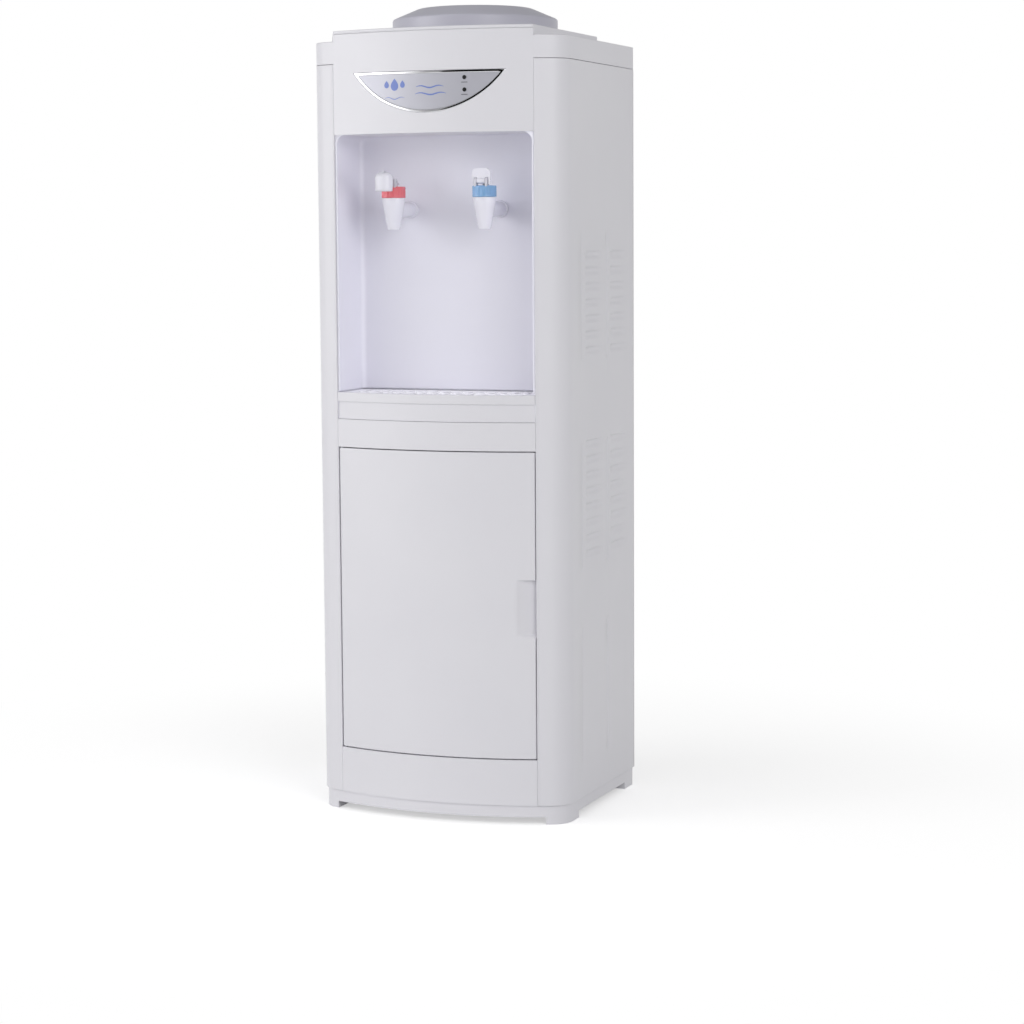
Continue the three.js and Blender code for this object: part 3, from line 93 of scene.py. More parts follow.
def moulded(name, colour, shade, roughness, grain, depth, index=1.5, drift=9.0, extra=None):
    """A moulded plastic: its colour drifts a little towards shade, drift times in a metre, and its
    skin has a grain of that size and depth in metres. index is its IOR, extra fills more sockets."""
    made = bpy.data.materials.new(name)
    tree = blank(made)
    place = add(tree, "TexCoord").outputs["Object"]
    cloud = add(tree, "TexNoise", {"Vector": place, "Scale": drift, "Detail": 2.0})
    level = cloud.outputs["Fac"]
    colours = {0: level, 6: linear(colour), 7: linear(shade)}
    tint = add(tree, "Mix", colours, data_type="RGBA")
    skin = add(tree, "TexNoise", {"Vector": place, "Scale": 1 / grain, "Detail": 3.0})
    bump = add(tree, "Bump", {"Height": skin.outputs["Fac"], "Strength": 0.25, "Distance": depth})
    span = {"Value": level, "To Min": roughness * 0.9, "To Max": roughness * 1.1}
    gloss = add(tree, "MapRange", span)
    links = {"Base Color": tint.outputs[2], "Roughness": gloss.outputs["Result"], "IOR": index}
    links |= {"Normal": bump.outputs["Normal"], **(extra or {})}
    body = add(tree, "BsdfPrincipled", links)
    add(tree, "OutputMaterial", {"Surface": body.outputs["BSDF"]})
    return made


# Injection-moulded ABS, satin white with a faint blue cast and a spark-eroded grain about 1 mm across,
# drawn coarser than the real one so that it breaks up the highlights at this distance
abs_index = 1.53
white_abs = moulded("moulded_white_abs", "#EAE9EE", "#E5E4EA", 0.40, 0.0011, 0.00005, abs_index)


def level_shading(piece):
    """Normals weighted by area, so that a flat face beside a rounded edge is shaded flat."""
    even = piece.modifiers.new("even", "WEIGHTED_NORMAL")
    even.keep_sharp = True
    even.weight = 60


def soften(piece, edge, segments):
    """A CAD node's loose triangles are welded, its edges rounded by edge metres where its faces meet
    at more than 32 degrees, and its faces shaded smooth."""
    piece.data.polygons.foreach_set("use_smooth", np.ones(len(piece.data.polygons), dtype=bool))
    weld = piece.modifiers.new("weld", "WELD")
    weld.merge_threshold = 0.00002
    bevel = piece.modifiers.new("edge", "BEVEL")
    bevel.width = edge
    bevel.segments = segments
    bevel.limit_method = "ANGLE"
    bevel.angle_limit = math.radians(32)
    bevel.miter_outer = "MITER_ARC"
    level_shading(piece)


def dress(node, material, edge=0.0, segments=2):
    """A CAD node that keeps its shape gets its finish, and rounded edges if edge is given."""
    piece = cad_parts[node]
    if edge:
        soften(piece, edge, segments)
    if not piece.material_slots:
        piece.data.materials.append(material)
    for place in piece.material_slots:
        place.material = material


dress("base_plinth", white_abs, 0.0012, 3)


# Side panels: two ABS mouldings, each a corner column and a flat side in one piece, screwed to the
# plinth. Long beads stiffen the flat, and pressed louvres let the heat of the tanks out.
def surface(name, sheets, material, body, node=None, finish=None, sharp=42):
    """One mesh from sheets of points, each (grid, wrap, flip) with grid (u, v, xyz): one quad between
    neighbours, closed round u where wrap is set. Points that meet are merged, which closes seams and
    poles, and edges that turn by more than sharp degrees stay crisp."""
    verts, faces, start = [], [], 0
    for grid, wrap, flip in sheets:
        count_u, count_v = grid.shape[:2]
        index = start + np.arange(count_u * count_v).reshape(count_u, count_v)
        across = np.roll(index, -1, 0) if wrap else index[1:]
        base = index if wrap else index[:-1]
        quads = np.stack([base[:, :-1], across[:, :-1], across[:, 1:], base[:, 1:]], -1).reshape(-1, 4)
        faces.append(quads[:, ::-1] if flip else quads)
        verts.append(np.asarray(grid, dtype=np.float32).reshape(-1, 3))
        start += count_u * count_v
    mesh = bpy.data.meshes.new(name)
    mesh.from_pydata(np.concatenate(verts), [], np.concatenate(faces))
    work = bmesh.new()
    work.from_mesh(mesh)
    bmesh.ops.remove_doubles(work, verts=work.verts, dist=2e-7)
    work.to_mesh(mesh)
    work.free()
    mesh.polygons.foreach_set("use_smooth", np.ones(len(mesh.polygons), dtype=bool))
    mesh.set_sharp_from_angle(angle=math.radians(sharp))
    mesh.materials.append(material)
    made = bpy.data.objects.new(name, mesh)
    bpy.context.collection.objects.link(made)
    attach(made, body)
    if node:
        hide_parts(node)
    return made


def thicken(piece, wall, even=True):
    """Gives a sheet its wall, inwards from its face. Without even, no corner's wall grows longer."""
    shell = piece.modifiers.new("wall", "SOLIDIFY")
    shell.thickness = wall
    shell.offset = -1
    shell.use_even_offset = even


half_wide, half_deep, total_high = 0.150, 0.130, 0.900
bow_radius, corner_radius, column_x = 0.374, 0.028, 0.11775
bow_centre = bow_radius - half_deep


def bow_y(x, depth=0.0):
    """The y of the bowed front at x, that depth under its face: a circle of bow_radius in plan."""
    return bow_centre - np.sqrt((bow_radius - depth) ** 2 - np.asarray(x) ** 2)


corner_x = half_wide - corner_radius
corner_y = bow_centre - math.sqrt((bow_radius - corner_radius) ** 2 - corner_x**2)
corner_start = math.atan2(corner_y - bow_centre, corner_x)
turn_steps = 5


def column_path(edge):
    """The right column in plan, from its inner edge, rounded by edge, along the bow and round the
    corner fillet."""
    front = float(bow_y(column_x))
    turn_in = np.linspace(math.pi, 1.5 * math.pi, turn_steps)
    inner = np.stack([column_x + edge + edge * np.cos(turn_in), front + edge + edge * np.sin(turn_in)], 1)
    xs = np.linspace(column_x + 1.6 * edge, bow_radius * math.cos(corner_start), 5)[:-1]
    sweep = np.linspace(corner_start, 0, 25)
    corner = corner_radius * np.stack([np.cos(sweep), np.sin(sweep)], 1) + (corner_x, corner_y)
    return np.concatenate([inner, np.stack([xs, bow_y(xs)], 1), corner])


def ease(share):
    """A share from 0 to 1 with a soft start and end."""
    share = np.clip(share, 0, 1)
    return share * share * (3 - 2 * share)


panel_low, panel_high, panel_wall, panel_round = 0.0213, 0.834, 0.0023, 0.001
bead_y, bead_deep = (-0.0511, 0.0329), (0.0008, 0.0020)
bead_z = ((0.0595, 0.2155), (0.2765, 0.4203), (0.5065, 0.6495))
bead_front, bead_front_wide, bead_rear, bead_rear_wide, bead_end = 0.0022, 0.0016, 0.0042, 0.0048, 0.005
louvre_y, louvre_first, louvre_count = (-0.0091, 0.0736), (0.2879, 0.5138), (8, 7)
louvre_step, louvre_tall, louvre_half, louvre_drop, louvre_deep = 0.0175, 0.0100, 0.030, 0.004, 0.0020
louvre_rise, louvre_fall = 0.45, 0.2


def press_depth(y, z):
    """How far the flat side is pressed in, in metres. A bead is a channel with a steep front wall and
    a wide, easy rear wall. A louvre is a scoop that drops at its front end and runs out to nothing at
    its rear end, and rises over louvre_rise and falls over louvre_fall of its height."""
    depth = np.zeros(np.broadcast(y, z).shape)
    for middle, deep in zip(bead_y, bead_deep):
        front = (y - middle + bead_front) / bead_front_wide
        rear = (middle + bead_rear - y) / bead_rear_wide
        for low, high in bead_z:
            along = np.clip(np.minimum(z - low, high - z) / bead_end, 0, 1)
            depth = np.maximum(depth, deep * along * ease(np.minimum(front, rear)))
    for middle in louvre_y:
        drop = ease((y - middle + louvre_half) / louvre_drop)
        run = np.clip((middle + louvre_half - y) / louvre_half, 0, 1)
        for first, count in zip(louvre_first, louvre_count):
            for start in first + louvre_step * np.arange(count):
                up = (z - start) / louvre_tall
                bulge = ease(np.minimum(up / louvre_rise, (1 - up) / louvre_fall))
                depth = np.maximum(depth, louvre_deep * bulge * drop * run)
    return depth


def side_panel(side):
    """The plan path carried up from plinth to cover, drawn in by 0.4 mm at both ends and by the
    pressings on the flat. The grid has a line wherever a pressing starts, turns or ends."""
    fine_y = [corner_y + 0.002, 0.108, 0.118, 0.1262]
    for middle in bead_y:
        fine_y += list(middle + np.linspace(-bead_front, bead_front_wide - bead_front, 4))
        fine_y += list(middle + np.linspace(0.0002, bead_rear, 6))
    for middle in louvre_y:
        fine_y += list(middle - louvre_half + np.linspace(0, louvre_drop, 5))
        fine_y += list(middle + np.linspace(0, louvre_half, 7))
    flat = np.array(sorted(fine_y))
    column = column_path(0.0008)
    jamb = [[column_x, column[0, 1] + 0.013]]
    rear_edge = [[half_wide - 0.0005, 0.127]]
    path = np.concatenate([jamb, column, np.stack([np.full(len(flat), half_wide), flat], 1), rear_edge])
    fine_z = [0.12, 0.16, 0.24, 0.45, 0.48, 0.66, 0.70, 0.74, 0.78]
    for rise in (0, 0.0002, 0.0005, 0.001):
        fine_z += [panel_low + rise, panel_high - rise]
    for low, high in bead_z:
        for run in (0, 0.5 * bead_end, bead_end):
            fine_z += [low + run, high - run]
    louvre_lines = louvre_tall * np.array([0, 0.15, 0.3, 0.45, 0.8, 0.87, 0.94, 1])
    for first, count in zip(louvre_first, louvre_count):
        for start in first + louvre_step * np.arange(count):
            fine_z += list(start + louvre_lines)
    zs = np.unique(np.round(fine_z, 6))
    points = np.zeros((len(path), len(zs), 3))
    points[:, :, :2] = path[:, None, :]
    points[:, :, 2] = zs
    on_side = path[:, :1] >= half_wide - 1e-6
    points[:, :, 0] -= np.where(on_side, press_depth(points[:, :, 1], points[:, :, 2]), 0)
    near_end = np.clip(panel_round - np.minimum(zs - panel_low, panel_high - zs), 0, panel_round)
    shrink = 0.4 * (panel_round - np.sqrt(panel_round**2 - near_end**2))
    tangent = np.gradient(path, axis=0)
    tangent /= np.linalg.norm(tangent, axis=1, keepdims=True)
    outward = np.stack([tangent[:, 1], -tangent[:, 0]], 1)
    points[:, :, :2] -= outward[:, None, :] * shrink[None, :, None]
    points[:, :, 0] *= side
    name = "right_side" if side > 0 else "left_side"
    made = surface(name, [(points, False, side < 0)], white_abs, "housing", f"{name}_panel", "white_abs")
    thicken(made, panel_wall)


side_panel(1)
side_panel(-1)

# Lower front frame: one ABS moulding with the kick panel, the jambs, the rail over the door and the
# shelf for the tray. It is screwed to the plinth between the columns.
dress("lower_front_frame", white_abs, 0.00025)

# Cabinet: a thin ABS box for cups, vacuum formed in one piece and open to the front. The hinge pins,
# the catch magnet and its strike plate sit beside it.
lining_abs = moulded("vacuum_formed_abs_lining", "#E2E1EB", "#DDDCE7", 0.42, 0.0014, 0.00005, abs_index)
dress("cabinet_liner", lining_abs, 0.0010)


def worked(name, colour, shade, rough, streak, depth, cells=0.0):
    """A worked metal: streaks whose sizes along x, y and z are given, or crystal cells of one size,
    shift its colour towards shade and lift its roughness through the range rough."""
    made = bpy.data.materials.new(name)
    tree = blank(made)
    place = add(tree, "TexCoord").outputs["Object"]
    if cells:
        grain = add(tree, "TexVoronoi", {"Vector": place, "Scale": 1 / cells})
        level = add(tree, "SeparateColor", {"Color": grain.outputs["Color"]}).outputs[0]
    else:
        scale = tuple(1 / size for size in streak)
        drawn = add(tree, "Mapping", {"Vector": place, "Scale": scale})
        grain = add(tree, "TexNoise", {"Vector": drawn.outputs[0], "Scale": 1.0, "Detail": 4.0})
        level = grain.outputs["Fac"]
    colours = {0: level, 6: linear(colour), 7: linear(shade)}
    tint = add(tree, "Mix", colours, data_type="RGBA")
    gloss = add(tree, "MapRange", {"Value": level, "To Min": rough[0], "To Max": rough[1]})
    bump = add(tree, "Bump", {"Height": level, "Strength": 0.3, "Distance": depth})
    links = {"Base Color": tint.outputs[2], "Roughness": gloss.outputs[0], "Normal": bump.outputs[0]}
    body = add(tree, "BsdfPrincipled", {**links, "Metallic": 1.0})
    add(tree, "OutputMaterial", {"Surface": body.outputs["BSDF"]})
    return made


# Turned and zinc-plated steel: a cool mirror broken by rings of tool marks 0.3 mm apart
tool_marks = (0.004, 0.004, 0.0003)
plated_steel = worked("zinc_plated_steel", "#C2C5CA", "#A9ACB2", (0.22, 0.38), tool_marks, 0.00002)
# Injection-moulded black ABS: dark and satin, with the same eroded grain as the white
black_abs = moulded("moulded_black_abs", "#232326", "#1B1B1E", 0.45, 0.0012, 0.00005, abs_index)
for part in ("door_pin_lower", "door_pin_upper", "door_strike"):
    dress(part, plated_steel, 0.0002)
dress("door_magnet", black_abs, 0.0004)

# Door: a bowed ABS shell turning on two pins at its left edge, with a scooped finger hold at its
# right edge and a flat panel snapped into its back.
door_half, door_low, door_high, door_back, door_wall = 0.1166, 0.0735, 0.4115, -0.099994, 0.0022
hinge_round, door_round = 0.003, 0.0009
scoop_left, scoop_wide, scoop_deep, scoop_low, scoop_high = 0.0965, 0.0201, 0.0085, 0.209, 0.272
scoop_foot, scoop_head, scoop_sink = 0.0042, 0.0016, 0.001


def scoop(x, z):
    """The depth of the finger hold: a ramp that falls away from its left side to the door's edge,
    after a soft start, with a crisp top and a softer foot."""
    share = np.clip((x - scoop_left) / scoop_wide, 0, 1)
    across = share * ease(share / 0.22 + 0.15)
    up = np.minimum(ease((z - scoop_low + scoop_sink) / scoop_foot), ease((scoop_high - z) / scoop_head))
    return scoop_deep * across * up


def door_shell():
    """A plan path round the door's front, carried up from foot to head: every row is pulled back by
    the finger hold and by the rounding of the head and foot. The last rows lie flat to close them."""
    hinge_x = -(door_half - hinge_round)
    hinge_y = bow_centre - math.sqrt((bow_radius - hinge_round) ** 2 - hinge_x**2)
    end = math.atan2(hinge_y - bow_centre, hinge_x) + 2 * math.pi
    sweep = np.linspace(math.pi, end, 9)
    left = np.stack([hinge_x + hinge_round * np.cos(sweep), hinge_y + hinge_round * np.sin(sweep)], 1)
    xs = np.concatenate([np.linspace(left[-1, 0] + 0.004, 0.094, 22), np.linspace(scoop_left, 0.1155, 22)])
    turning = np.linspace(0.15, 1, 5) * math.pi / 2
    edge_x = door_half - door_round + door_round * np.sin(turning)
    edge_y = bow_y(edge_x) + door_round * (1 - np.cos(turning))
    front = np.concatenate([left, np.stack([xs, bow_y(xs)], 1), np.stack([edge_x, edge_y], 1)])
    swell = np.linspace(0, 1, 6) * math.pi / 2
    rise, set_in = door_round * (1 - np.cos(swell)), door_round * (1 - np.sin(swell))
    rows = [door_low + rise, np.linspace(door_low + 0.004, scoop_low - 0.002, 8)]
    rows += [scoop_low - scoop_sink + np.linspace(0, scoop_foot, 8), np.linspace(0.216, 0.268, 6)]
    rows += [scoop_high - np.linspace(0, scoop_head, 7)[::-1]]
    rows += [np.linspace(scoop_high + 0.002, door_high - 0.004, 8), door_high - rise[::-1]]
    zs = np.concatenate(rows)
    pull = np.concatenate([set_in, np.zeros(len(zs) - 2 * len(set_in)), set_in[::-1]])
    x, z = front[:, :1] * np.ones(len(zs)), np.ones((len(front), 1)) * zs
    inward = pull + np.where(x > scoop_left, scoop(x, z), 0)
    away = bow_centre - front[:, 1:]
    rows_x = x - np.sign(x) * np.where(np.abs(x) > door_half - hinge_round, pull, 0)
    rows_y = front[:, 1:] + inward * away / np.hypot(x, away)
    rows = np.stack([rows_x, rows_y, z], -1)
    foot, head = rows[:, :1].copy(), rows[:, -1:].copy()
    foot[:, :, 1] = head[:, :, 1] = door_back
    rows = np.concatenate([foot, rows, head], 1)
    first, last = rows[:1].copy(), rows[-1:].copy()
    first[:, :, 1] = last[:, :, 1] = door_back
    return np.concatenate([first, rows, last], 0)


shell = surface("door_front", [(door_shell(), False, False)], white_abs, "door", "door", "white_abs")
thicken(shell, door_wall)
dress("door_inner_panel", lining_abs, 0.0005)

# Drip tray: a bowed ABS basin with a proud lip, which slides out on the shelf, and a slotted grille
# that lifts out of it.
dress("drip_tray", white_abs, 0.0005, 3)
dress("drip_grille", white_abs, 0.0004)

# Niche liner: the back and side walls of the cup space, vacuum formed from one ABS sheet with rounded
# corners. Its lower edge is set back, so that a dark line of shadow runs above the tray.
niche_half, niche_back, niche_low, niche_top, niche_wall = 0.1152, -0.048, 0.4441, 0.7567, 0.0016
tray_line, tray_line_top, tray_step_back, tray_step_out = 0.4748, 0.4756, 0.0024, 0.002
ceiling_round, niche_fillet, lip_x = 0.010, 0.006, 0.1177


def niche_walls():
    """A plan path down one side, across the back and up the other side, carried up: the walls lean in
    with the rounding at the ceiling, and step back where the tray meets them."""
    over = np.linspace(0, 1, 9) * math.pi / 2
    lower = [niche_low, tray_line, *np.linspace(tray_line, tray_line_top, 3), *np.linspace(0.49, 0.744, 8)]
    zs = np.concatenate([lower, niche_top - ceiling_round + ceiling_round * np.sin(over)])
    lean = np.concatenate([np.zeros(len(lower)), ceiling_round * (1 - np.cos(over))])
    back = np.zeros(len(zs))
    back[:4] = tray_step_back, tray_step_back, 0.0003, 0.0001
    turn_back = np.linspace(0, math.pi / 2, 9)
    rows = []
    for z, drawn, step in zip(zs, lean, back):
        rear = niche_back + step - 0.35 * drawn
        side = niche_half - drawn + (tray_step_out if step == tray_step_back else 0)
        front = float(bow_y(side, 0.0010)) + 0.0006
        wall = np.stack([np.full(5, -side), np.linspace(front, rear - niche_fillet, 6)[:-1]], 1)
        bend_x = -side + niche_fillet - niche_fillet * np.cos(turn_back)
        bend_y = rear - niche_fillet + niche_fillet * np.sin(turn_back)
        lip = [[-lip_x, float(bow_y(lip_x, 0.0010))]]
        left = np.concatenate([lip, wall, np.stack([bend_x, bend_y], 1)])
        middle = np.stack([np.linspace(-side + 0.02, side - 0.02, 9), np.full(9, rear)], 1)
        plan = np.concatenate([left, middle, left[::-1] * (-1, 1)])
        rows.append(np.column_stack([plan, np.full(len(plan), z)]))
    return np.stack(rows, 1)


walls = [(niche_walls(), False, False)]
liner = surface("niche_walls", walls, lining_abs, "housing", "niche_liner", "lining")
thicken(liner, niche_wall)

# Front header: the bowed ABS panel over the cup space, with the ceiling of the niche behind it. It
# slides up under the top cover's front edge.
dress("front_header", white_abs, 0.00025)

# Display: a half-round silver plate in a chrome-plated frame, with two unlit indicator lamps. The
# plate's printed marks are plain water drops, ripples and a short dash under each lamp.
window_top, window_half, window_tall = 0.8234, 0.090, 0.0452
window_radius = (window_half**2 + window_tall**2) / (2 * window_tall)


def half_round(margin, steps=48):
    """The window's outline (x, z) drawn in by margin: a circle's arc below a level line, as one
    closed loop."""
    centre = window_top - window_tall + window_radius
    inner, top = window_radius - margin, window_top - margin
    half = math.acos((centre - top) / inner)
    sweep = np.linspace(-math.pi / 2 - half, -math.pi / 2 + half, steps)
    arc = np.stack([inner * np.cos(sweep), centre + inner * np.sin(sweep)], 1)
    line = np.linspace(arc[-1], arc[0], steps // 2 + 2)[1:-1]
    return np.concatenate([arc, line])


def on_bow(outline, depth):
    """An outline (x, z) laid on the bowed front, that depth under its face."""
    return np.stack([outline[:, 0], bow_y(outline[:, 0], depth), outline[:, 1]], 1)


def filled(outline, depth, rings=10, middle=None):
    """A loop on the bowed front filled with rings that shrink to its middle."""
    middle = outline.mean(0) if middle is None else np.array(middle)
    shares = np.linspace(0, 1, rings + 1)
    return np.stack([on_bow(middle + (outline - middle) * share, depth) for share in shares], 1)


# Chrome plating on ABS: a mirror with the slight ripple of the moulding under it
chrome_plate = worked("chrome_plated_abs", "#E9E9EC", "#DFDFE3", (0.05, 0.09), (0.02,) * 3, 0.00001)
frame_margins = [0.0001, 0.0001, 0.0002, 0.0005, 0.0009, 0.0025, 0.0029, 0.0032, 0.0033, 0.0033]
frame_depths = [0.0014, 0.0007, 0.0004, 0.00018, 0.0001, 0.0001, 0.00018, 0.0004, 0.0007, 0.0014]
rings = [on_bow(half_round(margin), depth) for margin, depth in zip(frame_margins, frame_depths)]
ridge = [(np.stack([*rings, rings[0]], 1), True, False)]
surface("display_frame", ridge, chrome_plate, "housing", "display_bezel", "chrome", sharp=60)

# Silver film on polyester: aluminium flakes under a clear satin coat, drawn 0.9 mm across to show
film = {"drift": 14.0, "extra": {"Metallic": 0.3}}
silver_film = moulded("silver_polyester_film", "#C8C8D1", "#BDBDC7", 0.42, 0.0009, 0.00002, **film)
plate_margin, plate_depths, plate_middle = 0.0034, (0.0006, 0.0012), (0, 0.808)
plate_outline = half_round(plate_margin)
plate_front, plate_rear = (filled(plate_outline, depth, middle=plate_middle) for depth in plate_depths)
plate = [(np.concatenate([plate_front, plate_rear[:, ::-1]], 1), True, True)]
surface("display_panel", plate, silver_film, "housing", "display_plate", "silver_foil")


def drop(x, z, tall):
    """A water drop's outline: a circle whose top is drawn up to a point."""
    angle = np.linspace(0, 2 * math.pi, 33)[:-1]
    width = 0.36 * tall * np.sin(angle) * np.where(np.cos(angle) > 0, 1 - 0.75 * np.cos(angle) ** 2, 1)
    height = tall * np.where(np.cos(angle) > 0, 0.62 * np.cos(angle), 0.38 * np.cos(angle))
    return np.stack([x + width, z + height], 1)


def ripple(x, z, long, thick):
    """A wavy line one and a half waves long, as a closed loop that tapers to its ends."""
    along = np.linspace(0, 1, 25)
    wave = 0.0011 * np.sin(along * 3 * math.pi)
    half = thick / 2 * np.sin(np.clip(along, 0.04, 0.96) * math.pi) ** 0.5
    upper = np.stack([x + (along - 0.5) * long, z + wave + half], 1)
    lower = np.stack([x + (along - 0.5) * long, z + wave - half], 1)
    return np.concatenate([upper, lower[::-1]])


def band_between(outline, depth):
    """A long thin loop filled straight across from its upper to its lower side."""
    half = len(outline) // 2
    upper, lower = on_bow(outline[:half], depth), on_bow(outline[half:][::-1], depth)
    return np.stack([upper, lower], 1)


# Screen-printed ink on the film: flat and slightly glossy
print_blue = moulded("screen_print_blue", "#6F83C9", "#7C8FD0", 0.35, 0.0008, 0.00001)
print_grey = moulded("screen_print_grey", "#77777F", "#82828A", 0.35, 0.0008, 0.00001)
print_depth = 0.00052
drops = ((-0.0370, 0.8075, 0.0130), (-0.0468, 0.8085, 0.0080), (-0.0272, 0.8085, 0.0080))
ripples = ((-0.0370, 0.7945, 0.024, 0.0009), (0.005, 0.8060, 0.032, 0.0016), (0.006, 0.7985, 0.036, 0.0016))
blue_marks = [(filled(drop(*place), print_depth, 3), True, False) for place in drops]
blue_marks += [(band_between(ripple(*place), print_depth), False, True) for place in ripples]
surface("display_drop_marks", blue_marks, print_blue, "housing")
lamp_x, lamp_zs, dash_below, dash_half, dash_thin = 0.0445, (0.815, 0.8019), 0.0052, 0.0035, 0.0005
dashes = []
for lamp_z in lamp_zs:
    edges = []
    for rise in (dash_thin, -dash_thin):
        z = lamp_z - dash_below + rise
        edges.append(on_bow(np.array([[lamp_x - dash_half, z], [lamp_x + dash_half, z]]), print_depth))
    dashes.append((np.stack(edges, 1), False, True))
surface("display_lamp_marks", dashes, print_grey, "housing")

# Indicator lenses: smoked polycarbonate, nearly black while unlit
smoked_lens = moulded("smoked_polycarbonate_lens", "#121215", "#0C0C0F", 0.30, 0.002, 0.00001, 1.45)
dress("led_heating", smoked_lens, 0.0004, 3)
dress("led_cooling", smoked_lens, 0.0004, 3)

# Top cover: an ABS lid whose skirt laps the columns and the back, with a raised band that meets the
# front header and carries the bottle seat. The header slides up under its front edge.
seat_y, band_half, band_back, band_top, seat_hole = 0.015, 0.1178, 0.096, 0.870, 0.0775
cover_low, cover_top, cover_round, cover_wall, header_top = 0.8343, 0.859, 0.0012, 0.0018, 0.8661


def rounded(points, reach, steps=6):
    """A polyline whose inner corners become parabolic arcs that start that reach before each corner."""
    points = np.array(points, float)
    out = [points[:1]]
    along = np.linspace(0, 1, steps + 1)[:, None]
    for before, corner, after in zip(points, points[1:], points[2:]):
        back, on = before - corner, after - corner
        long_back, long_on = np.linalg.norm(back), np.linalg.norm(on)
        cut = min(reach, 0.48 * long_back, 0.48 * long_on)
        start, end = corner + back / long_back * cut, corner + on / long_on * cut
        out.append((1 - along) ** 2 * start + 2 * along * (1 - along) * corner + along**2 * end)
    out.append(points[-1:])
    return np.concatenate(out)


def body_plan(half, rear, corner):
    """Half of a plan outline, from the middle of the front round to the middle of the back. The
    body's outline takes in the corner columns, and the band's stays between them."""
    xs = np.linspace(0, column_x, 24)
    front = np.stack([xs, bow_y(xs)], 1)
    if half == half_wide:
        front = np.concatenate([front, column_path(0.0002)[turn_steps:]])
    else:
        front[-1] = (half, float(bow_y(half)))
    rest = rounded([front[-1], [half, rear], [0, rear]], corner)
    plan = np.concatenate([front, rest[1:]])
    run = np.concatenate([[0], np.cumsum(np.hypot(*np.diff(plan, axis=0).T))])
    spots = np.unique(np.concatenate([run, np.linspace(0, run[-1], 130)]))
    return np.stack([np.interp(spots, run, plan[:, 0]), np.interp(spots, run, plan[:, 1])], 1)


def cover_rings():
    """Rings round the seat's axis: every ring is the body's plan, the band's plan or the hole, read
    at the same angles. In front, between the columns, the lower rings gather on the band's lower
    edge."""
    plans = body_plan(half_wide, half_deep, 0.006), body_plan(band_half, band_back, 0.004)
    angles = [np.arctan2(plan[:, 0], -(plan[:, 1] - seat_y)) for plan in plans]
    notch = math.atan2(column_x, -(float(bow_y(column_x)) - seat_y))
    both = np.unique(np.round(np.concatenate([*angles, np.linspace(0, math.pi, 60)]), 5))
    both = np.sort(np.concatenate([both[np.abs(both - notch) > 0.002], [notch - 1e-4, notch + 1e-4]]))
    reach = []
    for plan, angle in zip(plans, angles):
        reach.append(np.interp(both, angle, np.hypot(plan[:, 0], plan[:, 1] - seat_y)))
    far, near = reach
    between = both < notch
    far = np.where(between, near, far)
    swell = [(1 - math.cos(turn), 1 - math.sin(turn)) for turn in np.linspace(0, 1, 5) * math.pi / 2]
    rows = [(far - 0.0004, cover_low), (far, cover_low + 0.0004), (far, 0.5 * (cover_low + cover_top))]
    rows += [(far - cover_round * inward, cover_top - cover_round * under) for inward, under in swell]
    rows += [(near + 0.0008, cover_top), (near + 0.0002, cover_top + 0.0002), (near, cover_top + 0.0008)]
    rows = [(np.where(between, near, ring), np.where(between, header_top + 0.00015, z)) for ring, z in rows]
    rows += [(near - cover_round * inward, band_top - cover_round * under) for inward, under in swell]
    hole = np.full(len(both), seat_hole)
    rows += [(0.5 * (near + hole), band_top), (hole, band_top), (hole, band_top - 0.0025)]
    grid = []
    for ring, z in rows:
        z = np.broadcast_to(z, len(both))
        right = np.stack([ring * np.sin(both), seat_y - ring * np.cos(both), z], 1)
        grid.append(np.concatenate([right, right[::-1] * (-1, 1, 1)]))
    return np.stack(grid, 1)


lid = [(cover_rings(), True, False)]
cover = surface("cover_shell", lid, white_abs, "housing", "top_cover", "white_abs", sharp=50)
thicken(cover, cover_wall, even=False)
level_shading(cover)

# Bottle seat: an ABS well in the cover's hole with a funnel floor, and a blue hollow spike that opens
# the bottle's seal.
dress("bottle_seat", white_abs, 0.0005)
# Injection-moulded polypropylene: a waxy, even gloss
pp_index = 1.49
blue_pp = moulded("moulded_blue_polypropylene", "#4E8FD2", "#437FC2", 0.30, 0.0015, 0.00004, pp_index)
dress("bottle_probe", blue_pp, 0.0005)


# Dust cap: a shallow lid of bluish white polypropylene, injection moulded. It stands on the band and
# lifts off for the bottle.
def lathe(profile, x, y, steps=72, wave=None):
    """A (radius, height) profile turned round an upright axis at x, y. wave gives the share of the
    radius that is added at an angle and a height."""
    radius, height = np.array(profile, float).T
    around = np.linspace(0, 2 * math.pi, steps + 1)[:-1][:, None]
    if wave:
        radius = radius * (1 + wave(around, height))
    radius, height, around = np.broadcast_arrays(radius, height, around)
    return np.stack([x + radius * np.cos(around), y + radius * np.sin(around), height], -1)


cap_pp = moulded("moulded_milky_polypropylene", "#C5C4D0", "#BDBCC8", 0.36, 0.0012, 0.00004, pp_index)
cap_low, cap_radius, cap_shoulder, cap_crown, cap_crown_z = 0.8703, 0.093, 0.8865, 0.0645, 0.8986
cap_hollow, cap_hollow_top, cap_inner, cap_inner_z = 0.0622, 0.8975, 0.0906, 0.8852
cap_out = [[cap_radius, cap_low], [cap_radius, cap_shoulder], [cap_crown, cap_crown_z]]
cap_out = rounded([*cap_out, [0.030, total_high - 0.0002]], 0.0022)
cap_in = rounded([[cap_hollow, 0.8966], [cap_inner, cap_inner_z], [cap_inner, cap_low]], 0.003)
cap_profile = np.concatenate([cap_out, [[0, total_high], [0, cap_hollow_top]], cap_in, cap_out[:1]])
cap = [(lathe(cap_profile, 0, seat_y, 96), True, False)]
surface("cap_lid", cap, cap_pp, "dust_cap", "dust_cap", "cap_plastic")

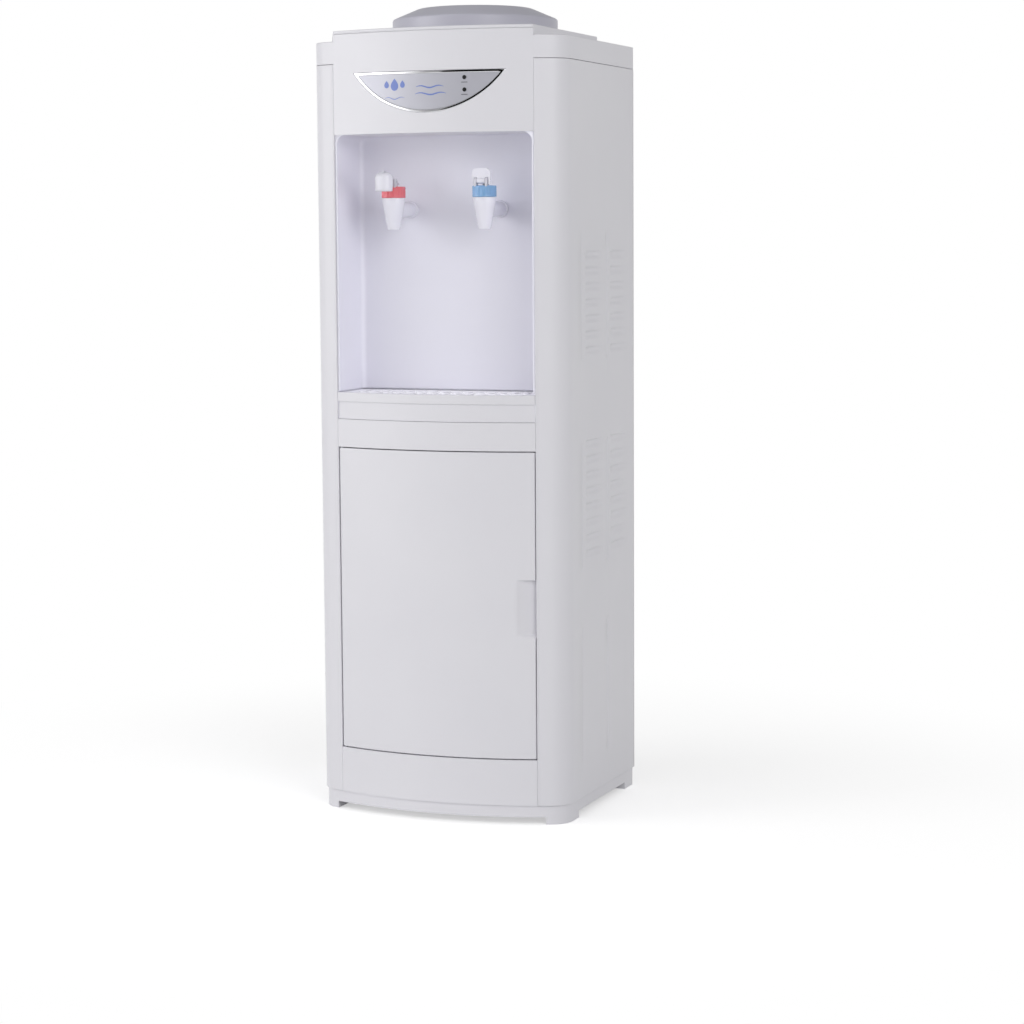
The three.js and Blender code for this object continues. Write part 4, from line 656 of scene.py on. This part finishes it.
# Taps: each an acetal body with a tapered spout on a short barrel, held by a nut behind the niche
# wall. A coloured, ribbed bonnet screws on top and carries the lever, which lifts the stem off its
# seat. The hot lever has a lock.
tap_x, tap_y, tap_z = 0.054, -0.095, 0.675
spout_low, spout_top, spout_bore, bore_deep = 0.653, 0.6875, 0.005, 0.009
spout_radius, mouth_radius = 0.0124, 0.0067
bonnet_low, bonnet_top, bonnet_radius, bonnet_inner, stem_hole = 0.6878, 0.700, 0.0132, 0.0100, 0.0023
pivot_y, pivot_z, flutes, flute_deep = -0.1035, 0.705, 20, 0.045
acetal_index = 1.48


def milky(share, depth, reach=(1.0, 1.0, 1.0)):
    """The sockets of a plastic that light enters: the share that enters it, how far in metres, and
    how that distance shrinks in red, green and blue."""
    return {"Subsurface Weight": share, "Subsurface Scale": depth, "Subsurface Radius": reach}


# Acetal: milky and slightly see-through at thin edges, so the body stays close to the wall's own tone
body_glow = milky(0.35, 0.004)
tap_acetal = moulded(
    "moulded_milky_acetal", "#E0DFE8", "#D9D8E2", 0.26, 0.0015, 0.00004, acetal_index, 40.0, body_glow
)
# The same acetal dyed red or blue: clearer, so that light colours it as it passes through
red_glow, blue_glow = milky(0.3, 0.003, (1.0, 0.3, 0.3)), milky(0.3, 0.003, (0.4, 0.6, 1.0))
tap_red = moulded(
    "translucent_red_acetal", "#F6838C", "#EE7680", 0.22, 0.0015, 0.00003, acetal_index, 60.0, red_glow
)
tap_blue = moulded(
    "translucent_blue_acetal", "#92BCE6", "#85B0DE", 0.22, 0.0015, 0.00003, acetal_index, 60.0, blue_glow
)


def lathe_y(profile, x, z, steps=48):
    """A (radius, y) profile turned round a front-to-back axis at x, z."""
    radius, along = np.array(profile, float).T
    around = np.linspace(0, 2 * math.pi, steps + 1)[:-1][:, None]
    radius, along, around = np.broadcast_arrays(radius, along, around)
    return np.stack([x + radius * np.sin(around), along, z + radius * np.cos(around)], -1)


def tap_body(name, x):
    """The spout is a cone with a bore, and the barrel a round bar with a flange on the wall and a
    shank through it."""
    bore_top = spout_low + bore_deep
    cone = [[spout_bore, spout_low], [mouth_radius, spout_low], [0.0098, 0.668]]
    cone += [[spout_radius, 0.6835], [spout_radius, spout_top]]
    spout = [[0, bore_top], [spout_bore, bore_top], [spout_bore, spout_low]]
    spout += [*rounded(cone, 0.0012), [0, spout_top]]
    barrel = [[0, tap_y], [0.0104, tap_y], [0.0080, -0.0545], [0.0080, -0.0512], [0.0086, -0.0508]]
    barrel += [[0.0093, -0.0505], [0.0095, -0.0500], [0.0095, -0.0483], [0.0075, -0.0483]]
    barrel += [[0.0075, -0.0302], [0.0071, -0.0300], [0, -0.0300]]
    sheets = [(lathe(spout, x, tap_y), True, False), (lathe_y(barrel, x, tap_z), True, False)]
    surface(f"{name}_spout", sheets, tap_acetal, "housing", f"{name}_body", "tap_white")


def ribs(around, height):
    """Shallow flutes on the bonnet's side that fade out at its edges."""
    fade = ease((height - bonnet_low - 0.001) / 0.0012) * ease((bonnet_top - 0.0022 - height) / 0.0012)
    return -flute_deep * (0.5 + 0.5 * np.cos(flutes * around)) * fade


def bar(loop, middle, steps):
    """A side outline (y, z) carried along x through steps (x, share), each with the outline shrunk
    to that share round its middle. A share of 0 at both ends closes it."""
    loop = np.array(loop, float)
    rings = []
    for x, share in steps:
        plan = middle + (loop - middle) * share
        rings.append(np.stack([np.full(len(plan), x), plan[:, 0], plan[:, 1]], 1))
    return np.stack(rings, 1)


def ear(x0, x1, radius=0.0036, eased=0.0004):
    """One cheek of the lever's hinge, from x0 to x1: an upright plate with a round head of that
    radius, its edges eased."""
    sweep = np.linspace(0, math.pi, 13)
    head = np.stack([pivot_y + radius * np.cos(sweep), pivot_z + radius * np.sin(sweep)], 1)
    foot = [[pivot_y - radius, bonnet_top - 0.001], [pivot_y + radius, bonnet_top - 0.001]]
    steps = ((x0, 0), (x0, 0.86), (x0 + eased, 1), (x1 - eased, 1), (x1, 0.86), (x1, 0))
    return bar(np.concatenate([head, foot]), np.array([pivot_y, pivot_z - 0.001]), steps)


def tap_bonnet(name, x, material, finish):
    """A fluted ring whose roof has a hole for the stem, and the two milky hinge cheeks set into it."""
    side = [[bonnet_inner, bonnet_low], [bonnet_radius, bonnet_low], [bonnet_radius, bonnet_top - 0.0006]]
    side = rounded([*side, [0.0124, bonnet_top]], 0.0006)
    rows = [[bonnet_radius, z] for z in np.linspace(bonnet_low + 0.0009, bonnet_top - 0.0018, 9)]
    low = [point for point in side if point[1] < bonnet_low + 0.0008]
    high = [point for point in side if point[1] > bonnet_top - 0.0016]
    roof = [[0.0105, bonnet_top + 0.0001], [stem_hole, bonnet_top]]
    roof += [[stem_hole, 0.696], [bonnet_inner, 0.696]]
    ring = lathe([*low, *rows, *high, *roof, low[0]], x, tap_y, 128, ribs)
    cheeks = [(ear(x - 0.0076, x - 0.0050), True, False), (ear(x + 0.0050, x + 0.0076), True, False)]
    surface(f"{name}_ring", [(ring, True, False)], material, "housing", f"{name}_bonnet", finish)
    surface(f"{name}_cheeks", cheeks, tap_acetal, "housing", finish="tap_white")


tap_body("hot_tap", -tap_x)
tap_body("cold_tap", tap_x)
tap_bonnet("hot_tap", -tap_x, tap_red, "hot_red")
tap_bonnet("cold_tap", tap_x, tap_blue, "cold_blue")

hood_y, hood_wide, hood_long, hood_square = -0.1205, 0.0096, 0.0088, 2.4
hood_shoulder, hood_crown, hood_wall = 0.7095, 0.0061, 0.0016


def thumb_hood(x):
    """The hot lever's thumb piece: rounded oblong plans, a superellipse of the power hood_square,
    stacked from a crowned top down to an open foot."""
    around = np.linspace(0, 2 * math.pi, 49)[:-1]
    flat = np.abs(np.cos(around)) ** hood_square + np.abs(np.sin(around)) ** hood_square
    plan = np.stack([hood_wide * np.cos(around), hood_long * np.sin(around)], 1)
    plan /= flat[:, None] ** (1 / hood_square)
    turning = np.linspace(0, math.pi / 2, 11)
    share = np.concatenate([np.sin(turning) ** 0.75, [1, 0.995, 0.98, 0.96, 0.94]])
    skirt = [0.7065, 0.7035, 0.7005, 0.6975, 0.6947]
    height = np.concatenate([hood_shoulder + hood_crown * np.cos(turning), skirt])
    rings = []
    for size, z in zip(share, height):
        rings.append(np.stack([x + plan[:, 0] * size, hood_y + plan[:, 1] * size, np.full(48, z)], 1))
    return np.stack(rings, 1)


def slab(x0, x1, loop):
    """A side outline (y, z) carried from x0 to x1 and closed at both ends."""
    return bar(loop, np.mean(loop, axis=0), ((x0, 0), (x0, 1), (x1, 1), (x1, 0)))


def hot_lever(x, half=0.0046, gap=0.0024):
    """The hood with its arm, hub and the two prongs that reach under the stem's head. They reach half
    on either side of x, and the prongs stay clear of the stem by starting gap away from x."""
    turning = np.linspace(0, 2 * math.pi, 25)[:-1]
    hub = np.stack([pivot_y + 0.0032 * np.cos(turning), pivot_z + 0.0032 * np.sin(turning)], 1)
    arm = [[pivot_y, 0.7037], [pivot_y, 0.7068], [-0.1125, 0.7105], [-0.1125, 0.7068]]
    prong = [[pivot_y, 0.7021], [pivot_y, 0.7040], [-0.0899, 0.7040], [-0.0899, 0.7021]]
    sheets = [(slab(x - half, x + half, hub), True, False), (slab(x - half, x + half, arm), True, False)]
    sheets += [(slab(x - half, x - gap, prong), True, True), (slab(x + gap, x + half, prong), True, True)]
    lever = ("hot_lever", "hot_tap_lever", "tap_white")
    surface("hot_lever_arm", sheets, tap_acetal, *lever)
    hood = surface("hot_lever_hood", [(thumb_hood(x), True, True)], tap_acetal, *lever)
    thicken(hood, hood_wall)


hot_lever(-tap_x)
dress("cold_tap_lever", tap_acetal, 0.0006, 3)
dress("hot_tap_lock", tap_acetal, 0.0003)
# Moulded silicone: clear and soft, with a dull skin
silicone_index = 1.41
stem_silicone = moulded(
    "moulded_clear_silicone", "#DAD9DC", "#CFCED3", 0.35, 0.001, 0.00003, silicone_index, 30.0
)
for tap in ("hot_tap", "cold_tap"):
    dress(f"{tap}_stem", stem_silicone, 0.0003)
    dress(f"{tap}_pin", plated_steel, 0.0001)
    dress(f"{tap}_nut", tap_acetal, 0.0004)

# Tank frame: 1.2 mm galvanised sheet bent to a ring, screwed between the side panels, with a shelf
# for each tank. Galvanising leaves spangles some 7 mm across.
zinc_tones, zinc_rough, spangle = ("#A9ADB1", "#8E9397"), (0.36, 0.50), 0.007
spangled_zinc = worked("galvanised_sheet", *zinc_tones, zinc_rough, None, 0.00001, spangle)
dress("tank_frame", spangled_zinc, 0.0003)

# Tanks: deep-drawn stainless cups with welded stubs. The cold one sits in a cut foam jacket, the hot
# one wears a clamped band heater.
# Brushed round the cup: streaks 12 mm long and 0.4 mm wide
brushing = (0.012, 0.012, 0.0004)
steel_tones = ("#C6C7C9", "#AEB0B3")
brushed_steel = worked("brushed_stainless_steel", *steel_tones, (0.24, 0.40), brushing, 0.00001)
dress("cold_tank", brushed_steel, 0.0010, 3)
dress("hot_tank", brushed_steel, 0.0010, 3)


def cellular(name, colour, shade, roughness, cell, strength, depth, edge=None):
    """Cells of one size, as a relief and as a change from colour to shade. They are round and fade
    towards their rims, or with edge they are angular and change at once, that far from the middle."""
    made = bpy.data.materials.new(name)
    tree = blank(made)
    place = add(tree, "TexCoord").outputs["Object"]
    outline = "MANHATTAN" if edge else "EUCLIDEAN"
    cells = add(tree, "TexVoronoi", {"Vector": place, "Scale": 1 / cell}, distance=outline)
    level = cells.outputs["Distance"]
    if edge:
        level = add(tree, "Math", {0: level, 1: edge}, operation="GREATER_THAN").outputs[0]
    tint = add(tree, "Mix", {0: level, 6: linear(colour), 7: linear(shade)}, data_type="RGBA")
    bump = add(tree, "Bump", {"Height": level, "Strength": strength, "Distance": depth})
    links = {"Base Color": tint.outputs[2], "Roughness": roughness, "Normal": bump.outputs[0]}
    body = add(tree, "BsdfPrincipled", links)
    add(tree, "OutputMaterial", {"Surface": body.outputs["BSDF"]})
    return made


# Expanded polyethylene foam: closed cells about 3 mm across, dead matt
cut_foam = cellular("cut_polyethylene_foam", "#EAE6D6", "#D9D4C2", 0.9, 0.003, 0.5, 0.0004)
dress("cold_tank_foam", cut_foam, 0.0008)
# Extruded aluminium: bright, with die lines 0.6 mm apart that run the length of the fins
die_lines = (0.0006, 0.0006, 0.03)
die_drawn = worked("extruded_aluminium", "#CDCFD2", "#B7BABD", (0.30, 0.46), die_lines, 0.00001)
dress("heater_band", die_drawn, 0.0002)

# Cooling: an aluminium block on the tank, the thermo-electric tile between ceramic faces, a finned
# sink and its fan, clamped together by screws.
dress("cold_block", die_drawn, 0.0004)
dress("heat_sink", die_drawn, 0.0001)
# Fired alumina: chalk white and fine-grained
alumina = moulded("fired_alumina_ceramic", "#ECEBE6", "#DFDED8", 0.55, 0.0006, 0.00003, 1.7, 60.0)
dress("peltier_module", alumina, 0.0003)
dress("fan_frame", black_abs, 0.0006)
dress("fan_rotor", black_abs, 0.0003)

# Hoses: extruded food-grade silicone tube, milky and soft, pushed on to the stubs.
hose_tones, hose_milk = ("#E3E1DA", "#D7D5CD"), milky(0.25, 0.003)
milky_hose = moulded(
    "extruded_milky_silicone", *hose_tones, 0.45, 0.002, 0.00004, silicone_index, 20.0, hose_milk
)
for hose in ("hot_feed_hose", "hot_hose", "cold_hose", "drain_hose"):
    dress(hose, milky_hose, 0.0002)

# Control and power boards: glass-fibre laminate under a green solder lacquer, on posts behind the
# display and on the frame's right leg.
# Lacquer over copper: glossy, and darker in crisp patches where the copper lies under it
lacquer_tones, copper_edge = ("#2F6B3C", "#255631"), 0.42
lacquered_board = cellular(
    "lacquered_circuit_board", *lacquer_tones, 0.32, 0.005, 0.3, 0.00005, copper_edge
)
dress("control_board", lacquered_board, 0.0003)
dress("power_board", lacquered_board, 0.0004)

# Rear panel: one flat ABS sheet with a fan grille and vents, held in the side panels' ribs. The drain
# with its screw cap, the rocker switches in their frame and the empty rubber gland for the lead sit
# in its openings.
dress("rear_panel", white_abs)
dress("drain_cap", white_abs, 0.0008, 3)
# Moulded rubber: nearly black and dull
gland_rubber = moulded("moulded_black_rubber", "#2B2B2D", "#232325", 0.75, 0.0012, 0.00008, 1.52, 20.0)
dress("cord_gland", gland_rubber, 0.0004)
dress("switch_frame", black_abs, 0.0005)
# Moulded rockers: glossier than the casing, in plain red and blue
rocker_grain = (0.28, 0.0012, 0.00003, abs_index, 40.0)
rocker_red = moulded("moulded_red_rocker", "#C63443", "#B92C3B", *rocker_grain)
rocker_blue = moulded("moulded_blue_rocker", "#3F7FC6", "#3873B6", *rocker_grain)
dress("heat_switch", rocker_red, 0.0005, 3)
dress("cool_switch", rocker_blue, 0.0005, 3)


# Studio: a white floor that keeps the object's shadow near it and glows white further off, a dim
# white sky that the camera sees as white, and three soft lamps on the left, in front and on the right.
def studio_sheet(name, corners):
    """A sheet with four corners, and the emptied nodes of its paint."""
    mesh = bpy.data.meshes.new(name)
    mesh.from_pydata(corners, [], [(0, 1, 2, 3)])
    made = bpy.data.objects.new(name, mesh)
    bpy.context.collection.objects.link(made)
    paint = bpy.data.materials.new(f"{name}_paint")
    mesh.materials.append(paint)
    return made, blank(paint)


white = (1, 1, 1, 1)
floor_half, shadow_reach, floor_white, floor_lift = 30, (0.25, 0.9), "#F4F4F4", 0.44
corners = [(x * floor_half, y * floor_half, 0) for x, y in ((-1, -1), (1, -1), (1, 1), (-1, 1))]
floor_piece, tree = studio_sheet("floor", corners)
place = add(tree, "TexCoord").outputs["Object"]
far = add(tree, "VectorMath", {0: place}, operation="LENGTH").outputs["Value"]
near_far = {"Value": far, "From Min": shadow_reach[0], "From Max": shadow_reach[1]}
fade = add(tree, "MapRange", near_far, interpolation_type="SMOOTHSTEP").outputs["Result"]
rays = add(tree, "LightPath").outputs
seen = {0: rays["Is Camera Ray"], 1: rays["Is Glossy Ray"]}
shown = add(tree, "Math", seen, operation="MAXIMUM").outputs[0]
share = add(tree, "Math", {0: shown, 1: fade}, operation="MULTIPLY")
lift = add(tree, "Math", {0: shown, 1: floor_lift}, operation="MULTIPLY")
matte = add(tree, "BsdfDiffuse", {"Color": linear(floor_white)})
own = add(tree, "Emission", {"Color": white, "Strength": lift.outputs[0]})
near = add(tree, "AddShader", {0: matte.outputs[0], 1: own.outputs[0]})
glow = add(tree, "Emission", {"Color": white, "Strength": 1.0})
mixed = add(tree, "MixShader", {0: share.outputs[0], 1: near.outputs[0], 2: glow.outputs[0]})
add(tree, "OutputMaterial", {"Surface": mixed.outputs[0]})

# The sky is a little brighter in front than behind. Mirrors see it brighter near the horizon.
sky_front, sky_back, gleam_low, gleam_high = 0.45, 0.37, 1.0, 0.30
world = bpy.data.worlds.new("studio")
bpy.context.scene.world = world
tree = blank(world)
rays = add(tree, "LightPath").outputs
seen = {0: rays["Is Camera Ray"], 1: rays["Is Transmission Ray"]}
shown = add(tree, "Math", seen, operation="MAXIMUM")
way = add(tree, "SeparateXYZ", {0: add(tree, "TexCoord").outputs["Generated"]}).outputs
span = {"Value": way["Y"], "From Min": -0.15, "From Max": 0.15, "To Min": sky_front, "To Max": sky_back}
dim = add(tree, "MapRange", span)
span = {"Value": way["Z"], "From Min": 0.12, "From Max": 0.5, "To Min": gleam_low, "To Max": gleam_high}
gleam = add(tree, "MapRange", span)
sky = add(tree, "Background", {"Color": white, "Strength": dim.outputs["Result"]})
mirrored = add(tree, "Background", {"Color": white, "Strength": gleam.outputs["Result"]})
backdrop = add(tree, "Background", {"Color": white, "Strength": 1.0})
cast = add(tree, "MixShader", {0: rays["Is Glossy Ray"], 1: sky.outputs[0], 2: mirrored.outputs[0]})
mixed = add(tree, "MixShader", {0: shown.outputs[0], 1: cast.outputs[0], 2: backdrop.outputs[0]})
add(tree, "OutputWorld", {"Surface": mixed.outputs[0]})


def lamp(name, place, target, size, power, only=()):
    """A square soft lamp at place, turned to face target. It lights every piece, or those in only."""
    light = bpy.data.lights.new(name, "AREA")
    light.shape = "SQUARE"
    light.size = size
    light.energy = power
    made = bpy.data.objects.new(name, light)
    bpy.context.collection.objects.link(made)
    back = np.array(place, float) - np.array(target, float)
    back /= np.linalg.norm(back)
    side = np.cross((0, 0, 1), back)
    side /= np.linalg.norm(side)
    matrix = np.eye(4)
    matrix[:3, 0], matrix[:3, 1], matrix[:3, 2], matrix[:3, 3] = side, np.cross(back, side), back, place
    made.matrix_world = Matrix(matrix.tolist())
    if only:
        lit = bpy.data.collections.new(f"lit_by_{name}")
        for piece in only:
            lit.objects.link(bpy.data.objects[piece])
        made.light_linking.receiver_collection = lit


middle, upper = (0, 0, 0.5), (0, 0, 0.6)
lamp("left_softbox", (-2.8, -2.0, 1.3), middle, 1.8, 30.5)
lamp("front_softbox", (-1.8, -3.1, 1.2), middle, 2.0, 11)
lamp("right_softbox", (2.2, -2.2, 1.9), upper, 1.6, 26)

# Two low lamps reach the cup space only and fill its shadows, and a high one reaches the grille alone.
spouts = ("hot_tap_spout", "cold_tap_spout", "hot_lever_hood", "cold_tap_lever")
cup_space = ("niche_walls", "drip_grille", *spouts)
lamp("cup_space_right", (2.9, -1.5, 0.5), upper, 1.6, 34, cup_space)
lamp("cup_space_left", (-1.0, -3.2, 0.4), upper, 1.6, 9, cup_space)
lamp("grille_fill", (0.6, -2.4, 2.0), (0, 0, 0.47), 1.2, 45, ("drip_grille",))

# A card stands in front of the display, seen only in mirrors, as a photographer gives chrome a dark
# edge: it runs from white through grey at its left side to black.
card_left, card_right, card_y, card_low, card_high = -1.8, 0.7, -3.1, 0.1, 3.2
corners = [(card_left, card_y, card_low), (card_right, card_y, card_low)]
corners += [(card_right, card_y, card_high), (card_left, card_y, card_high)]
card, tree = studio_sheet("mirror_card", corners)
card.visible_camera = card.visible_diffuse = card.visible_transmission = card.visible_shadow = False
spot = add(tree, "SeparateXYZ", {0: add(tree, "TexCoord").outputs["Object"]}).outputs["X"]
span = {"Value": spot, "From Min": -1.7, "From Max": -1.3, "To Min": 1.0, "To Max": 0.42}
grey = add(tree, "MapRange", span).outputs["Result"]
span = {"Value": spot, "From Min": -0.95, "From Max": -0.85, "To Min": 1.0, "To Max": 0.005}
black = add(tree, "MapRange", span).outputs["Result"]
shade = add(tree, "Math", {0: grey, 1: black}, operation="MULTIPLY")
paper = add(tree, "Emission", {"Color": white, "Strength": shade.outputs[0]})
add(tree, "OutputMaterial", {"Surface": paper.outputs[0]})
